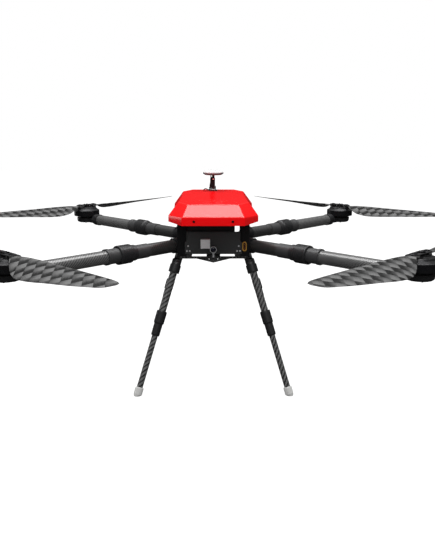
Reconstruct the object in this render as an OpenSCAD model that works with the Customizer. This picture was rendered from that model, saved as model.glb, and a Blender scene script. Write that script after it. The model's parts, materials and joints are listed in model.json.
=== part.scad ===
// Quadcopter drone with plug-in arms, folding propellers and a fixed four-leg landing gear.
// +Z is up, the front faces -Y, the origin is on the ground under the centre. Millimetres.

/* [Overall] */
// Motor-to-motor diagonal across the centre
wheelbase = 1300; // [1100:10:1600]
// Ground to the underside of the lower deck
deck_z = 345.5; // [280:0.5:420]
// Propeller tip radius
prop_radius = 413; // [340:1:500]

/* [Centre frame] */
// Half width of the lower deck
deck_half_x = 107; // [100:1:130]
// Half width of the upper deck, out to the posts' outer faces
top_half_x = 99; // [95:1:107]
// Half length of the decks
deck_half_y = 133; // [120:1:160]
// Clear height between the two decks
bay_h = 86.5; // [80:0.5:110]
// Thickness of each deck plate
deck_t = 4; // [2:0.5:6]
// Width of a front post along X
post_x = 25; // [22:1:36]
// Width of a rear post along X
rear_post_x = 17; // [15:1:30]
// Length of a corner post along Y
post_y = 42; // [30:1:50]
// How far the nose of the lower deck stands out in front
nose_l = 54; // [30:1:70]
// Half width of the nose where it leaves the deck
nose_half = 46; // [30:1:60]

/* [Hood] */
// Height of the hood's lower edge over the upper deck
hood_lift = 10; // [4:1:16]
// Height of the hood from its lower edge to its top
hood_h = 53; // [40:1:70]
// Half width at the corners
hood_half_x = 121; // [112:1:140]
// Half width at the waist, midway along
hood_waist_x = 113.5; // [108:0.5:120]
// Half length at the front and rear faces
hood_half_y = 228; // [200:1:260]
// Half width of the front and rear faces
hood_face_x = 81; // [60:1:100]
// Distance of the side corners from the middle, along Y
hood_corner_y = 146; // [120:1:170]
// Height of the upright skirt at the side corners
skirt_side_h = 16; // [8:1:24]
// Height of the upright skirt at the front and rear faces
skirt_face_h = 21; // [10:1:30]
// Wall of the hood
hood_wall = 2.5; // [1.5:0.5:4]

/* [Arm] */
// Outer diameter of the arm tubes
arm_d = 35; // [30:1:42]
// Wall of the arm tubes
tube_wall = 2; // [1:0.5:3]
// Height of the arm axis over the underside of the lower deck
arm_rise = 31.5; // [30:0.5:45]
// Distance from the centre at which the root tube starts
root_r = 128; // [122:1:132]
// Distance from the centre at which the corner clamp ends
clamp_r = 158; // [150:1:175]
// Distance from the centre at which the inner sleeve starts
sleeve_r = 250; // [220:1:280]
// Length of the inner sleeve that shows before the lock collar
sleeve_l = 43; // [30:1:60]
// Length of the lock collar
collar_l = 55; // [40:1:70]
// How far the lock collar stands out from the arm tube
collar_t = 7.5; // [6:0.5:12]
// Length of the outer sleeve beyond the lock collar
plug_l = 37; // [25:1:50]
// Length of the plug's spigot inside the inner sleeve
spigot_l = 50; // [30:1:60]
// Number of grooves round the lock collar
collar_grooves = 20; // [12:1:30]

/* [Motor] */
// Outer diameter of the motor bell
bell_d = 90; // [80:1:100]
// Height of the motor bell
bell_h = 30; // [24:1:40]
// Diameter of the motor mount
mount_d = 70; // [60:1:80]
// Height of the motor mount
mount_h = 17; // [13:1:20]
// Gap between the motor mount and the bell
bell_gap = 6; // [3:1:10]
// Diameter of the motor shaft
shaft_d = 10; // [6:1:14]

/* [Propeller] */
// Distance from the shaft to each blade's fold bolt
fold_r = 28; // [24:1:34]
// Diameter of a fold bolt
fold_bolt_d = 8; // [6:0.5:10]
// Thickness of the blade root
root_t = 4.6; // [4:0.2:8]
// Thickness of the hub plates
plate_t = 2; // [1.5:0.5:4]

/* [Landing gear] */
// Leg centre at the lower deck, along X
leg_x = 98; // [85:1:110]
// Leg centre at the lower deck, along Y
leg_y = 130; // [110:1:150]
// Foot centre on the ground, along X
foot_x = 203; // [150:1:260]
// Foot centre on the ground, along Y
foot_y = 258; // [200:1:320]
// Diameter of the upper leg tube
leg_d = 20; // [16:1:26]
// Diameter of the lower leg tube
shin_d = 16; // [12:1:20]
// Distance along the leg from the deck to the coupler
coupler_at = 150; // [120:1:200]
// Length of the coupler
coupler_l = 69; // [50:1:90]
// Length of the foot
foot_l = 22; // [15:1:40]

/* [Antenna mast] */
// Distance of the mast behind the middle
mast_y = 174; // [150:1:190]
// Height of the hinge over the hood
mast_hinge_h = 9; // [7:1:14]
// Height of the antenna's underside over the hood
mast_h = 49; // [46:1:80]
// Diameter of the antenna
puck_d = 65; // [50:1:80]
// Height of the antenna
puck_h = 15; // [10:1:25]

/* [Camera] */
// Distance of the camera in front of the middle
camera_y = 165; // [160:1:172]
// Height of the camera's axis over the lower deck
camera_h = 28.5; // [25:0.5:45]
// Outer diameter of the camera
camera_d = 18; // [14:1:24]
// Length of the camera
camera_l = 20; // [16:1:28]

/* [Hidden] */
$fn = 48;
eps = 0.01;
// Radial clearance of a shaft or pin in its bore
run_fit = 0.05;
// Clearance between sliding or turning neighbours
gap = 0.4;

deck_top = deck_z + deck_t;
top_z = deck_top + bay_h;
hood_z = top_z + deck_t + hood_lift;
hood_top = hood_z + hood_h;
arm_z = deck_z + arm_rise;
arm_r = arm_d / 2;
motor_r = wheelbase / 2;

collar_r0 = sleeve_r + sleeve_l;
collar_r1 = collar_r0 + collar_l;
plug_r1 = collar_r1 + plug_l;
sleeve_rad = arm_r + 1.5;
plug_rad = arm_r + 2.2;
plug_face = collar_r0 + collar_l / 2;
spigot_rad = arm_r - 3.5;
sleeve_grip = 12;

mount_z = arm_z - 13;
bell_z = mount_z + mount_h + bell_gap;
bell_top = bell_z + bell_h;
bell_r = bell_d / 2;
bell_wall = 3.5;
bell_shoulder = bell_h * 0.4;
bell_top_r = bell_r - 12;
bell_roof = 4;
clamp_rad = arm_r + 2;
clamp_end = motor_r - bell_r - clamp_rad + 1;
clamp_l = 18;
tube_end = clamp_end + 3;

hub_z = bell_top;
blade_z0 = hub_z + plate_t + 0.2;
blade_z1 = blade_z0 + root_t;
hub_cap_z = blade_z1 + 0.2;
hub_top = hub_cap_z + plate_t;
hub_rad = 12;
blade_mid = (blade_z0 + blade_z1) / 2;

// Blade stations: share of the way from the fold bolt to the tip, offset of the leading edge, offset of
// the trailing edge, rise of the leading edge, drop of the trailing edge, thickness.
BLADE = [
    [0.01, 9, 9, 0, 0, 4.2],
    [0.04, 10.5, 12, 0, 0, 4.2],
    [0.07, 12, 20, 1, 4, 5.4],
    [0.11, 14, 28.5, 2, 10, 6.6],
    [0.16, 15, 38, 2.5, 16, 7],
    [0.22, 16, 47.5, 3, 19, 7],
    [0.32, 17, 58.5, 3, 20, 6.6],
    [0.45, 17, 60, 3, 17, 6],
    [0.6, 17, 52, 3.5, 12, 5],
    [0.75, 16, 42, 4, 8, 4],
    [0.88, 14, 31, 4.5, 4, 3],
    [0.96, 10, 22, 5, 1, 2.4],
    [1, 3, 5, 5, -3, 1.6]
];
section_n = 16;

post_x0 = top_half_x - post_x;
post_y0 = deck_half_y - 3 - post_y;
panel_y = deck_half_y - 3;
panel_t = 3;
panel_z0 = deck_top + 8.5;
panel_h = 62;
panel_half = 68;
panel_foot_half = 78;
tray_z = panel_z0 - 1;
tray_t = 1.7;
battery_half = 57;
battery_h = 58.5;
battery_y0 = 122;
battery_y1 = 118;
avionics_z = panel_z0 + panel_h - 2;
avionics_x1 = 58.6;

leg_top = [leg_x, leg_y, deck_z];
leg_foot = [foot_x, foot_y, 0];
leg_v = leg_foot - leg_top;
leg_len = norm(leg_v);
leg_lean = acos(-leg_v[2] / leg_len);
leg_turn = atan2(leg_v[1], leg_v[0]);

mast_hinge_z = hood_top + mast_hinge_h;
puck_z = hood_top + mast_h;
mast_half = 5.5;
ear_t = 2.5;
pin_r = 2;

camera_z = deck_top + camera_h;
camera_pivot_h = 9.5;
camera_pivot_z = deck_top + camera_pivot_h;
lug_half = 2.5;

lead_r = 1.5;
// Radius and length of the clip on the hinge axis that joins the two stretches of the antenna lead
clip_r = 2.6;
clip_l = 5;
// Route of the antenna lead over the hood, from the clip to its hole, as seen from the mast's foot
HOOD_LEAD = [
    [-10.5, 0, 6.3], [-10.5, 0, 5.5], [-11.6, 0, 3.8], [-14.2, 0, 2.7], [-17.5, 0.5, 3.2], [-20.5, 1, 4.6],
    [-23.5, 1.5, 5.4], [-26.8, 2, 4.8], [-29.2, 2, 3.2], [-30, 2, 1.4], [-30, 2, 0.6], [-30, 2, 0]
];
// Route of the antenna lead along the mast, from the antenna to the clip, as seen from the mast's foot
MAST_LEAD = [
    [-7.5, 0, 49], [-7.5, 0, 44], [-7.6, 0, 38], [-7.9, 0, 32], [-8.7, 0, 26], [-9.8, 0, 20], [-10.5, 0, 15],
    [-10.5, 0, 13], [-10.5, 0, 11.7]
];

// ---- helpers -------------------------------------------------------------------------------------

// Turns its children from the +X direction to arm i: front left, front right, rear left, rear right
module on_arm(i) rotate([0, 0, [225, 315, 135, 45][i]]) children();

// Puts its children on the vertical axis of motor i, with +X still pointing outwards
module on_motor(i) on_arm(i) translate([motor_r, 0, 0]) children();

// A copy in each of the four corners, mirrored across the two middle planes
module four_corners() {
    for (mx = [0, 1], my = [0, 1])
        mirror([mx, 0, 0]) mirror([0, my, 0]) children();
}

// A rod along the arm axis between two distances from the centre
module rod(r0, r1, rad) translate([r0, 0, arm_z]) rotate([0, 90, 0]) cylinder(h = r1 - r0, r = rad);

// A tube along the arm axis
module pipe(r0, r1, rad, bore) {
    difference() {
        rod(r0, r1, rad);
        rod(r0 - 1, r1 + 1, bore);
    }
}

// A rod along the leg in the +X +Y corner, between two distances from the deck
module leg_rod(s0, s1, rad) {
    translate(leg_top) rotate([0, 0, leg_turn]) rotate([0, 180 - leg_lean, 0]) translate([0, 0, s0])
        cylinder(h = s1 - s0, r = rad);
}

// A closed tube that follows a list of points
module sweep(path, rad, sides) {
    n = len(path);
    function dir(i) = let (v = path[min(i + 1, n - 1)] - path[max(i - 1, 0)]) v / norm(v);
    function across(d) = let (v = cross(d, [0, 1, 0])) v / norm(v);
    points = [for (i = [0:n - 1]) let (d = dir(i), u = across(d), w = cross(u, d))
        for (k = [0:sides - 1]) path[i] + rad * (cos(360 * k / sides) * u + sin(360 * k / sides) * w)];
    sides_faces = [for (i = [0:n - 2], k = [0:sides - 1]) let (m = (k + 1) % sides)
        [i * sides + k, i * sides + m, (i + 1) * sides + m, (i + 1) * sides + k]];
    start = [for (k = [sides - 1:-1:0]) k];
    finish = [for (k = [0:sides - 1]) (n - 1) * sides + k];
    polyhedron(points, concat(sides_faces, [start, finish]), convexity = 6);
}

// ---- centre frame --------------------------------------------------------------------------------

// Outline of a level of the hood, anticlockwise from the waist on the +X side
function hood_ring(corner_x, waist_x, corner_y, face_x, face_y, z_side, z_face) = [
    [waist_x, 0, z_side], [corner_x, corner_y, z_side], [face_x, face_y, z_face],
    [-face_x, face_y, z_face], [-corner_x, corner_y, z_side], [-waist_x, 0, z_side],
    [-corner_x, -corner_y, z_side], [-face_x, -face_y, z_face],
    [face_x, -face_y, z_face], [corner_x, -corner_y, z_side]
];

// Foot, shoulder and roof outlines of the hood's surface, drawn in by a wall
function hood_levels(wall) = let (
    x = hood_half_x - wall,
    y = hood_half_y - wall,
    corner = hood_corner_y - wall / 3,
    face = hood_face_x - wall * 0.8
) [
    hood_ring(x, hood_waist_x - wall, corner, face, y, hood_z, hood_z),
    hood_ring(x, hood_waist_x - wall, corner, face, y,
        hood_z + skirt_side_h - wall / 3, hood_z + skirt_face_h - wall / 3),
    hood_ring(x - roof_in_x, x - roof_in_x - roof_waist, corner + 5, face - 14, y - roof_in_y,
        hood_top - wall, hood_top - wall)
];

// How far the roof lies inside the skirt along X and Y, and how much its sides draw in at the middle
roof_in_x = 27.5;
roof_in_y = 18;
roof_waist = 2;

// Open-bottomed shell: outer surface, inner surface and the rim between them
module hood() {
    outer = hood_levels(0);
    inner = hood_levels(hood_wall);
    n = len(outer[0]);
    points = [for (level = concat(outer, inner)) each level];
    function band(lower, upper) = [for (k = [0:n - 1]) let (
        m = (k + 1) % n, a = lower * n + k, b = lower * n + m, c = upper * n + k, d = upper * n + m
    ) each [[a, c, b], [b, c, d]]];
    outer_roof = [for (k = [n - 1:-1:0]) 2 * n + k];
    inner_roof = [for (k = [0:n - 1]) 5 * n + k];
    color("red") polyhedron(points,
        concat(band(0, 1), band(1, 2), band(4, 3), band(5, 4), band(3, 0), [outer_roof, inner_roof]),
        convexity = 6);
}

bracket_x = 50;
bracket_w = 16;
bracket_t = 2;
bracket_top = hood_z + 19;
bracket_face = hood_half_y - hood_wall - 0.2;

// Stepped strap from the upper deck to the inside of the hood's front and rear faces
module hood_brackets() {
    foot_y0 = deck_half_y - 25;
    riser_y = deck_half_y - 4;
    shelf_z = hood_z + 3;
    color("dimgray") four_corners() translate([bracket_x - bracket_w / 2, 0, 0]) {
        translate([0, foot_y0, top_z + deck_t]) cube([bracket_w, riser_y - foot_y0, bracket_t]);
        translate([0, riser_y - bracket_t, top_z + deck_t])
            cube([bracket_w, bracket_t, shelf_z - top_z - deck_t]);
        translate([0, riser_y - bracket_t, shelf_z - bracket_t])
            cube([bracket_w, bracket_face - riser_y + bracket_t, bracket_t]);
        translate([0, bracket_face - bracket_t, shelf_z - bracket_t])
            cube([bracket_w, bracket_t, bracket_top - shelf_z + bracket_t]);
    }
}

hood_screw_z = hood_z + 11;
panel_screws = [[69, 31], [72.5, 17.5], [64.5, 17.5]];

// Hood screws at the front and rear, and the screws of the front panel's feet
module frame_screws() {
    color("silver") {
        four_corners() translate([bracket_x, hood_half_y, hood_screw_z]) rotate([-90, 0, 0])
            cylinder(h = 1.6, r = 3.2);
        for (s = [-1, 1], p = panel_screws)
            translate([s * p[0], -panel_y - panel_t, deck_top + p[1]]) rotate([90, 0, 0])
                cylinder(h = 1.4, r = 2.1);
        four_corners() translate([top_half_x - rear_post_x / 2, deck_half_y - 12, top_z + deck_t])
            cylinder(h = 2, r = 3.5);
    }
}

// How far the corners of the decks are cut off
deck_cut = 14;

// Outline of a deck with its corners cut off
module deck_outline(x) {
    c = deck_cut;
    y = deck_half_y;
    polygon([
        [x, -y + c], [x, y - c], [x - c, y], [-x + c, y], [-x, y - c], [-x, -y + c], [-x + c, -y], [x - c, -y]
    ]);
}

wire_hole_r = 14;

module top_deck() {
    color("#181818") translate([0, 0, top_z]) linear_extrude(deck_t) difference() {
        deck_outline(top_half_x);
        for (s = [-1, 1]) translate([s * 40, 88]) circle(r = wire_hole_r);
        for (s = [-1, 1]) translate([s * 40, -88]) circle(r = wire_hole_r);
    }
}

payload_x = 80;
payload_y = 60;
payload_hole_r = 2.2;
window_x0 = 19;
window_x1 = 60;
window_y0 = 60;
window_y1 = 124;

// Height and width of the bar that stiffens the lower deck's front edge
lip_h = 2.3;
lip_w = 3;

// Lower deck with four windows, the payload holes, a stiffened front edge and a pierced V-shaped nose
module bottom_deck() {
    x = deck_half_x;
    y = deck_half_y;
    spine = 10;
    color("#181818") translate([0, 0, deck_z]) linear_extrude(deck_t) difference() {
        union() {
            deck_outline(x);
            polygon([[-nose_half, -y + eps], [0, -y - nose_l], [nose_half, -y + eps]]);
        }
        for (sx = [-1, 1], sy = [-1, 1])
            translate([sx * (window_x0 + window_x1) / 2, sy * (window_y0 + window_y1) / 2])
                square([window_x1 - window_x0, window_y1 - window_y0], center = true);
        for (s = [-1, 1])
            polygon([[s * spine, -y - 3], [s * (nose_half - 14), -y - 3], [s * spine, -y - nose_l * 0.52]]);
        for (sx = [-1, 1], sy = [-1, 1]) translate([sx * payload_x / 2, sy * payload_y / 2])
            circle(r = payload_hole_r);
    }
    color("#181818") translate([-x + deck_cut, -y, deck_top - eps])
        cube([2 * (x - deck_cut), lip_w, lip_h + eps]);
}

// Post between the decks at each corner, with the round clamp that holds the arm's root tube
module corner_posts() {
    color("#151515") for (i = [0:3]) difference() {
        union() {
            mirror([i % 2 == 0 ? 1 : 0, 0, 0]) mirror([0, i < 2 ? 1 : 0, 0])
                translate([top_half_x - (i < 2 ? post_x : rear_post_x), post_y0, deck_top])
                    cube([i < 2 ? post_x : rear_post_x, post_y, bay_h]);
            on_arm(i) rod(root_r + 6, clamp_r, arm_r + 3.5);
        }
        on_arm(i) rod(root_r - 30, sleeve_r, arm_r);
    }
}

module arm_roots() {
    color("#222222") for (i = [0:3]) on_arm(i) pipe(root_r, sleeve_r + sleeve_grip, arm_r, arm_r - tube_wall);
}

// Sleeve on the end of each root tube, bored for the plug's spigot
module root_sleeves() {
    color("#303030") for (i = [0:3]) on_arm(i) difference() {
        rod(sleeve_r, plug_face - 1, sleeve_rad);
        rod(sleeve_r - 1, sleeve_r + sleeve_grip, arm_r);
        rod(sleeve_r, plug_face, spigot_rad + gap);
    }
}

// Cover between the front posts, with its lower corners drawn out over them
module front_panel() {
    chamfer = 8;
    foot_w = 6;
    flange_t = 3;
    color("#202224") translate([0, -panel_y, 0]) rotate([90, 0, 0]) linear_extrude(panel_t) polygon([
        [-panel_foot_half, panel_z0], [panel_foot_half, panel_z0],
        [panel_foot_half, panel_z0 + 32], [panel_half, panel_z0 + 32 + chamfer],
        [panel_half, panel_z0 + panel_h], [-panel_half, panel_z0 + panel_h],
        [-panel_half, panel_z0 + 32 + chamfer], [-panel_foot_half, panel_z0 + 32]
    ]);
    // Feet that carry the panel on the deck, and the flanges that close the gaps beside the posts
    color("#202224") for (m = [0, 1]) mirror([m, 0, 0]) {
        translate([post_x0 - gap - foot_w, -panel_y, deck_top]) cube([foot_w, 8, panel_z0 + 20 - deck_top]);
        translate([panel_half - 2, -panel_y, panel_z0])
            cube([post_x0 - gap - panel_half + 2, flange_t, panel_h]);
    }
}

// Tray on four spacers over the lower deck, with a low rail on each side
module battery_tray() {
    half = battery_half + gap;
    rail_t = 2;
    color("#1c1c1c") {
        translate([-half - rail_t, -battery_y0 - gap, tray_z])
            cube([2 * (half + rail_t), battery_y0 + battery_y1, tray_t]);
        for (s = [-1, 1]) translate([s * (half + rail_t / 2) - rail_t / 2, -battery_y0 - gap, tray_z])
            cube([rail_t, battery_y0 + battery_y1, 16]);
        for (s = [-1, 1], y = [-45, 80]) translate([s * 40, y, deck_top])
            cylinder(h = tray_z - deck_top, r = 5);
    }
}

module battery() {
    z = tray_z + tray_t + 0.1;
    color("#26282a") translate([-battery_half, -battery_y0, z])
        cube([2 * battery_half, battery_y0 + battery_y1, battery_h]);
    // Grip loop on the rear end
    color("#101010") translate([0, battery_y1, z + battery_h / 2]) difference() {
        translate([-30, -1, -5]) cube([60, 17, 10]);
        translate([-24, -2, -6]) cube([48, 12, 12]);
    }
}

// Shallow tray under the upper deck
module avionics_tray() {
    wall = 2;
    x0 = -post_x0 + gap;
    w = avionics_x1 - x0;
    l = 2 * deck_half_y - 16;
    h = top_z - avionics_z;
    color("#141414") translate([x0, -l / 2, avionics_z]) difference() {
        cube([w, l, h]);
        translate([wall, wall, wall]) cube([w - 2 * wall, l - 2 * wall, h]);
    }
}

module speed_controllers() {
    color("#333a33") for (sx = [-1, 1], sy = [-1, 1])
        translate([-1 + sx * 30 - 22, sy * 66 - 40, avionics_z + 2]) cube([44, 80, 9]);
}

module flight_controller() {
    color("#3a3d42") {
        translate([-28, -45, top_z + deck_t]) cube([56, 90, 22]);
        translate([-24, -60, top_z + deck_t]) cube([48, 15 + eps, 12]);
    }
}

port_x = 85;
port_w = 12.4;
port_l = 26.6;

// Oval power socket on the front of the right-hand post
module power_port() {
    module oval(grow, h) {
        r = port_w / 2 + grow;
        linear_extrude(h) {
            for (s = [-1, 1]) translate([0, s * (port_l - port_w) / 2]) circle(r = r);
            square([2 * r, port_l - port_w], center = true);
        }
    }
    color("#b07820") translate([port_x, -panel_y, deck_top + 29.7]) rotate([90, 0, 0]) difference() {
        oval(0, 4);
        translate([0, 0, 1.5]) oval(-3, 4);
    }
}

module signal_module() {
    w = 25.5;
    h = 24.6;
    depth = 13;
    rim = 2.2;
    color("#b8b8b8") translate([-21.8, -panel_y - panel_t, deck_top + 38.6]) rotate([90, 0, 0]) difference() {
        translate([-w / 2, -h / 2, 0]) cube([w, h, depth]);
        translate([-w / 2 + rim, -h / 2 + rim, depth - 1]) cube([w - 2 * rim, h - 2 * rim, 2]);
    }
}

// ---- camera --------------------------------------------------------------------------------------

module across(x0, x1, rad) translate([x0, 0, 0]) rotate([0, 90, 0]) cylinder(h = x1 - x0, r = rad);

camera_pin_r = 1.5;
camera_eye_r = 4;
// Half width and height of the foot's two ears round the pivot
camera_ear = 4;
lug_straight = camera_ear * 1.5 + 0.5;

module camera_foot() {
    color("#1a1a1a") translate([0, -camera_y, 0]) {
        translate([0, 0, deck_top]) cylinder(h = 2.5, r = 9);
        for (s = [-1, 1]) translate([s * (lug_half + 1.5) - 1.2, -camera_ear, deck_top + 2])
            cube([2.4, 2 * camera_ear, camera_pivot_z + camera_ear - deck_top - 2]);
        translate([0, 0, camera_pivot_z]) across(-lug_half - 3, lug_half + 3, camera_pin_r);
    }
}

module camera() {
    color("#202020") translate([0, -camera_y, camera_z]) rotate([90, 0, 0]) difference() {
        translate([0, 0, -camera_l / 2]) cylinder(h = camera_l, r = camera_d / 2);
        translate([0, 0, camera_l / 2 - 3]) cylinder(h = 4, r = camera_d / 2 - 2.2);
    }
    color("silver") translate([0, -camera_y, 0]) difference() {
        union() {
            translate([0, 3, 0]) rotate([90, 0, 0]) linear_extrude(6) polygon([
                [-lug_half, camera_pivot_z], [lug_half, camera_pivot_z],
                [lug_half, camera_pivot_z + lug_straight], [4.5, camera_z - camera_d / 2 + 1],
                [-4.5, camera_z - camera_d / 2 + 1], [-lug_half, camera_pivot_z + lug_straight]
            ]);
            translate([0, 0, camera_pivot_z]) across(-lug_half, lug_half, camera_eye_r);
        }
        translate([0, 0, camera_pivot_z]) across(-9, 9, camera_pin_r + run_fit);
    }
}

// ---- antenna -------------------------------------------------------------------------------------

module gnss_base() {
    ear_x = mast_half + gap;
    color("#1a1a1a") translate([0, mast_y, 0]) {
        translate([-12, -11, hood_top]) cube([24, 22, 2]);
        for (s = [-1, 1]) translate([s * (ear_x + ear_t / 2) - ear_t / 2, -6, hood_top + 1])
            cube([ear_t, 12, mast_hinge_h + 4]);
        translate([0, 0, mast_hinge_z]) across(-ear_x - 1, ear_x + 1, pin_r);
        translate([0, 0, mast_hinge_z]) across(-ear_x - ear_t - clip_l, -ear_x - ear_t, clip_r);
    }
}

module gnss_mast() {
    color("#141414") translate([0, mast_y, 0]) difference() {
        union() {
            translate([0, 0, mast_hinge_z]) across(-mast_half, mast_half, 5);
            translate([-mast_half, -5, mast_hinge_z]) cube([2 * mast_half, 10, mast_h - mast_hinge_h - 9]);
            translate([0, 0, puck_z - 10]) cylinder(h = 10, r = 4);
        }
        translate([0, 0, mast_hinge_z]) across(-mast_half - 1, mast_half + 1, pin_r + run_fit);
    }
}

// Flat round antenna with a domed top
module gnss_antenna() {
    r = puck_d / 2;
    color("white") translate([0, mast_y, puck_z]) rotate_extrude() polygon([
        [0, 0], [r - 7, 0], [r - 1.5, 3], [r, 5], [r, 8], [r - 1.5, 10.5], [r - 6, puck_h - 2],
        [r - 14, puck_h - 0.6], [0, puck_h]
    ]);
}

module mast_lead() color("#0c0c0c") translate([0, mast_y, hood_top]) sweep(MAST_LEAD, lead_r, 8);

module hood_lead() color("#0c0c0c") translate([0, mast_y, hood_top]) sweep(HOOD_LEAD, lead_r, 8);

// ---- landing gear --------------------------------------------------------------------------------

leg_clamp_l = 18;
leg_collar_l = 22;
coupler_a_l = coupler_l * 0.52;

module below_deck() {
    intersection() {
        children();
        translate([0, 0, deck_z - 500]) cube([1000, 1000, 500]);
    }
}

// Socket cut flush with the lower deck, and the thicker collar below it
module leg_clamps() {
    color("#1c1c1c") four_corners() difference() {
        below_deck() union() {
            leg_rod(-10, leg_clamp_l + 1, leg_d / 2 + 3);
            leg_rod(leg_clamp_l, leg_clamp_l + leg_collar_l, leg_d / 2 + 5);
        }
        leg_rod(8, leg_clamp_l + leg_collar_l + 1, leg_d / 2);
    }
}

module leg_upper_tubes() {
    color("#444444") four_corners() difference() {
        leg_rod(8, coupler_at + 20, leg_d / 2);
        leg_rod(7, coupler_at + 21, leg_d / 2 - 1.5);
    }
}

module leg_couplers() {
    color("#1c1c1c") four_corners() difference() {
        union() {
            leg_rod(coupler_at, coupler_at + coupler_a_l, leg_d / 2 + 4);
            leg_rod(coupler_at + coupler_a_l - 1, coupler_at + coupler_l, leg_d / 2 + 1.5);
        }
        leg_rod(coupler_at - 1, coupler_at + 20, leg_d / 2);
        leg_rod(coupler_at + 24, coupler_at + coupler_l + 1, shin_d / 2);
    }
}

module leg_lower_tubes() {
    s0 = coupler_at + 24;
    s1 = leg_len - foot_l + 12;
    color("#444444") four_corners() difference() {
        leg_rod(s0, s1, shin_d / 2);
        leg_rod(s0 - 1, s1 + 1, shin_d / 2 - 1.5);
    }
}

// Rubber foot, cut level with the ground
module leg_feet() {
    color("#c8c8c8") four_corners() difference() {
        intersection() {
            leg_rod(leg_len - foot_l, leg_len + 12, shin_d / 2 + 3);
            cube([1000, 1000, 500]);
        }
        leg_rod(leg_len - foot_l - 1, leg_len - foot_l + 12, shin_d / 2);
    }
}

// ---- arms ----------------------------------------------------------------------------------------

module arm_tube(i) {
    color("#2c2c2c") on_arm(i) pipe(plug_r1 - 30, tube_end, arm_r, arm_r - tube_wall);
}

// Plug half of the joint: spigot, outer sleeve with its lip, bored for the arm tube
module arm_plug(i) {
    lip = 9;
    color("#303030") on_arm(i) difference() {
        union() {
            rod(plug_face - spigot_l, plug_face + 1, spigot_rad);
            rod(plug_face, plug_r1, plug_rad);
            rod(plug_r1 - lip, plug_r1, plug_rad + 1.2);
        }
        rod(plug_r1 - 30, plug_r1 + 1, arm_r);
        rod(plug_face - spigot_l - 1, plug_r1, spigot_rad - 3);
    }
}

// Threaded ring over both sleeves, tapered and grooved on its inner side
module lock_collar(i) {
    taper = 22;
    groove_r = 1.5;
    r = arm_r + collar_t;
    color("#262626") on_arm(i) difference() {
        translate([0, 0, arm_z]) rotate([0, 90, 0]) rotate_extrude() polygon([
            [sleeve_rad + gap, collar_r0], [r - 3, collar_r0], [r, collar_r0 + taper],
            [r, collar_r1 - 2], [r - 2, collar_r1], [plug_rad + gap + 2, collar_r1],
            [plug_rad + gap + 2, collar_r1 - 4], [plug_rad + gap, collar_r1 - 4],
            [plug_rad + gap, plug_face - 0.5], [sleeve_rad + gap, plug_face - 0.5]
        ]);
        for (k = [0:collar_grooves - 1]) translate([0, 0, arm_z]) rotate([360 * k / collar_grooves, 0, 0])
            translate([collar_r0 - 1, 0, r + 0.2]) rotate([0, 90, 0]) cylinder(h = taper + 6, r = groove_r);
    }
}

// Round base, domed tube clamp, neck between them, lamp below, and the motor's fixed stator
module motor_mount(i) {
    r = mount_d / 2;
    stator_r = bell_r - bell_wall - 0.8;
    seat_z = mount_z + mount_h;
    color("#1e1e1e") difference() {
        union() {
            on_motor(i) translate([0, 0, mount_z]) rotate_extrude() polygon([
                [0, 0], [r - 8, 0], [r - 2.5, 2], [r, 6], [r, mount_h], [0, mount_h]
            ]);
            on_arm(i) rod(clamp_end - clamp_l, clamp_end, clamp_rad);
            on_arm(i) translate([clamp_end, 0, arm_z]) sphere(r = clamp_rad);
            on_arm(i) translate([clamp_end, -15, mount_z + 1]) cube([motor_r - clamp_end, 30, mount_h - 2]);
            on_motor(i) translate([12, 0, mount_z - 3]) cylinder(h = 4, r = 3);
        }
        on_arm(i) rod(clamp_end - clamp_l - 1, tube_end, arm_r);
        on_motor(i) translate([0, 0, seat_z - 6]) cylinder(h = 7, r = shaft_d / 2 + 1);
    }
    color("#7a4a2a") on_motor(i) difference() {
        union() {
            translate([0, 0, seat_z]) cylinder(h = bell_gap + 2, r = 28);
            translate([0, 0, seat_z + bell_gap + 2]) cylinder(h = bell_shoulder - 2.6, r = stator_r);
            translate([0, 0, seat_z + bell_gap + 2]) cylinder(h = bell_h - bell_roof - 4, r = 24);
        }
        translate([0, 0, seat_z - 1]) cylinder(h = bell_h + 10, r = shaft_d / 2 + run_fit);
    }
}

// Turning outer can of the motor with its shaft
module motor_bell(i) {
    inner = bell_r - bell_wall;
    color("#232323") on_motor(i) {
        translate([0, 0, bell_z]) rotate_extrude() polygon([
            [0, bell_h - bell_roof], [bell_top_r - 2, bell_h - bell_roof], [inner, bell_shoulder],
            [inner, 0], [bell_r, 0], [bell_r, bell_shoulder], [bell_top_r, bell_h], [0, bell_h]
        ]);
        translate([0, 0, bell_z - bell_gap - 4]) cylinder(h = bell_h + bell_gap, r = shaft_d / 2);
    }
}

// Plates that hold both blades, the fold bolts, the centre boss and its screws
module prop_hub(i) {
    module strap() {
        for (s = [-1, 1]) translate([0, s * fold_r]) circle(r = hub_rad);
        square([2 * hub_rad, 2 * fold_r], center = true);
    }
    color("#2a2a2a") on_motor(i) {
        translate([0, 0, hub_z]) linear_extrude(plate_t) strap();
        translate([0, 0, hub_cap_z]) linear_extrude(plate_t) strap();
        translate([0, 0, hub_z]) cylinder(h = hub_top - hub_z, r = hub_rad);
        for (s = [-1, 1]) translate([0, s * fold_r, 0]) {
            translate([0, 0, hub_z]) cylinder(h = hub_top - hub_z, r = fold_bolt_d / 2);
            translate([0, 0, hub_top]) cylinder(h = 2, r = fold_bolt_d / 2 + 2);
        }
        for (a = [45:90:315]) rotate([0, 0, a]) translate([7.5, 0, hub_top]) cylinder(h = 1.6, r = 2.8);
    }
}

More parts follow.
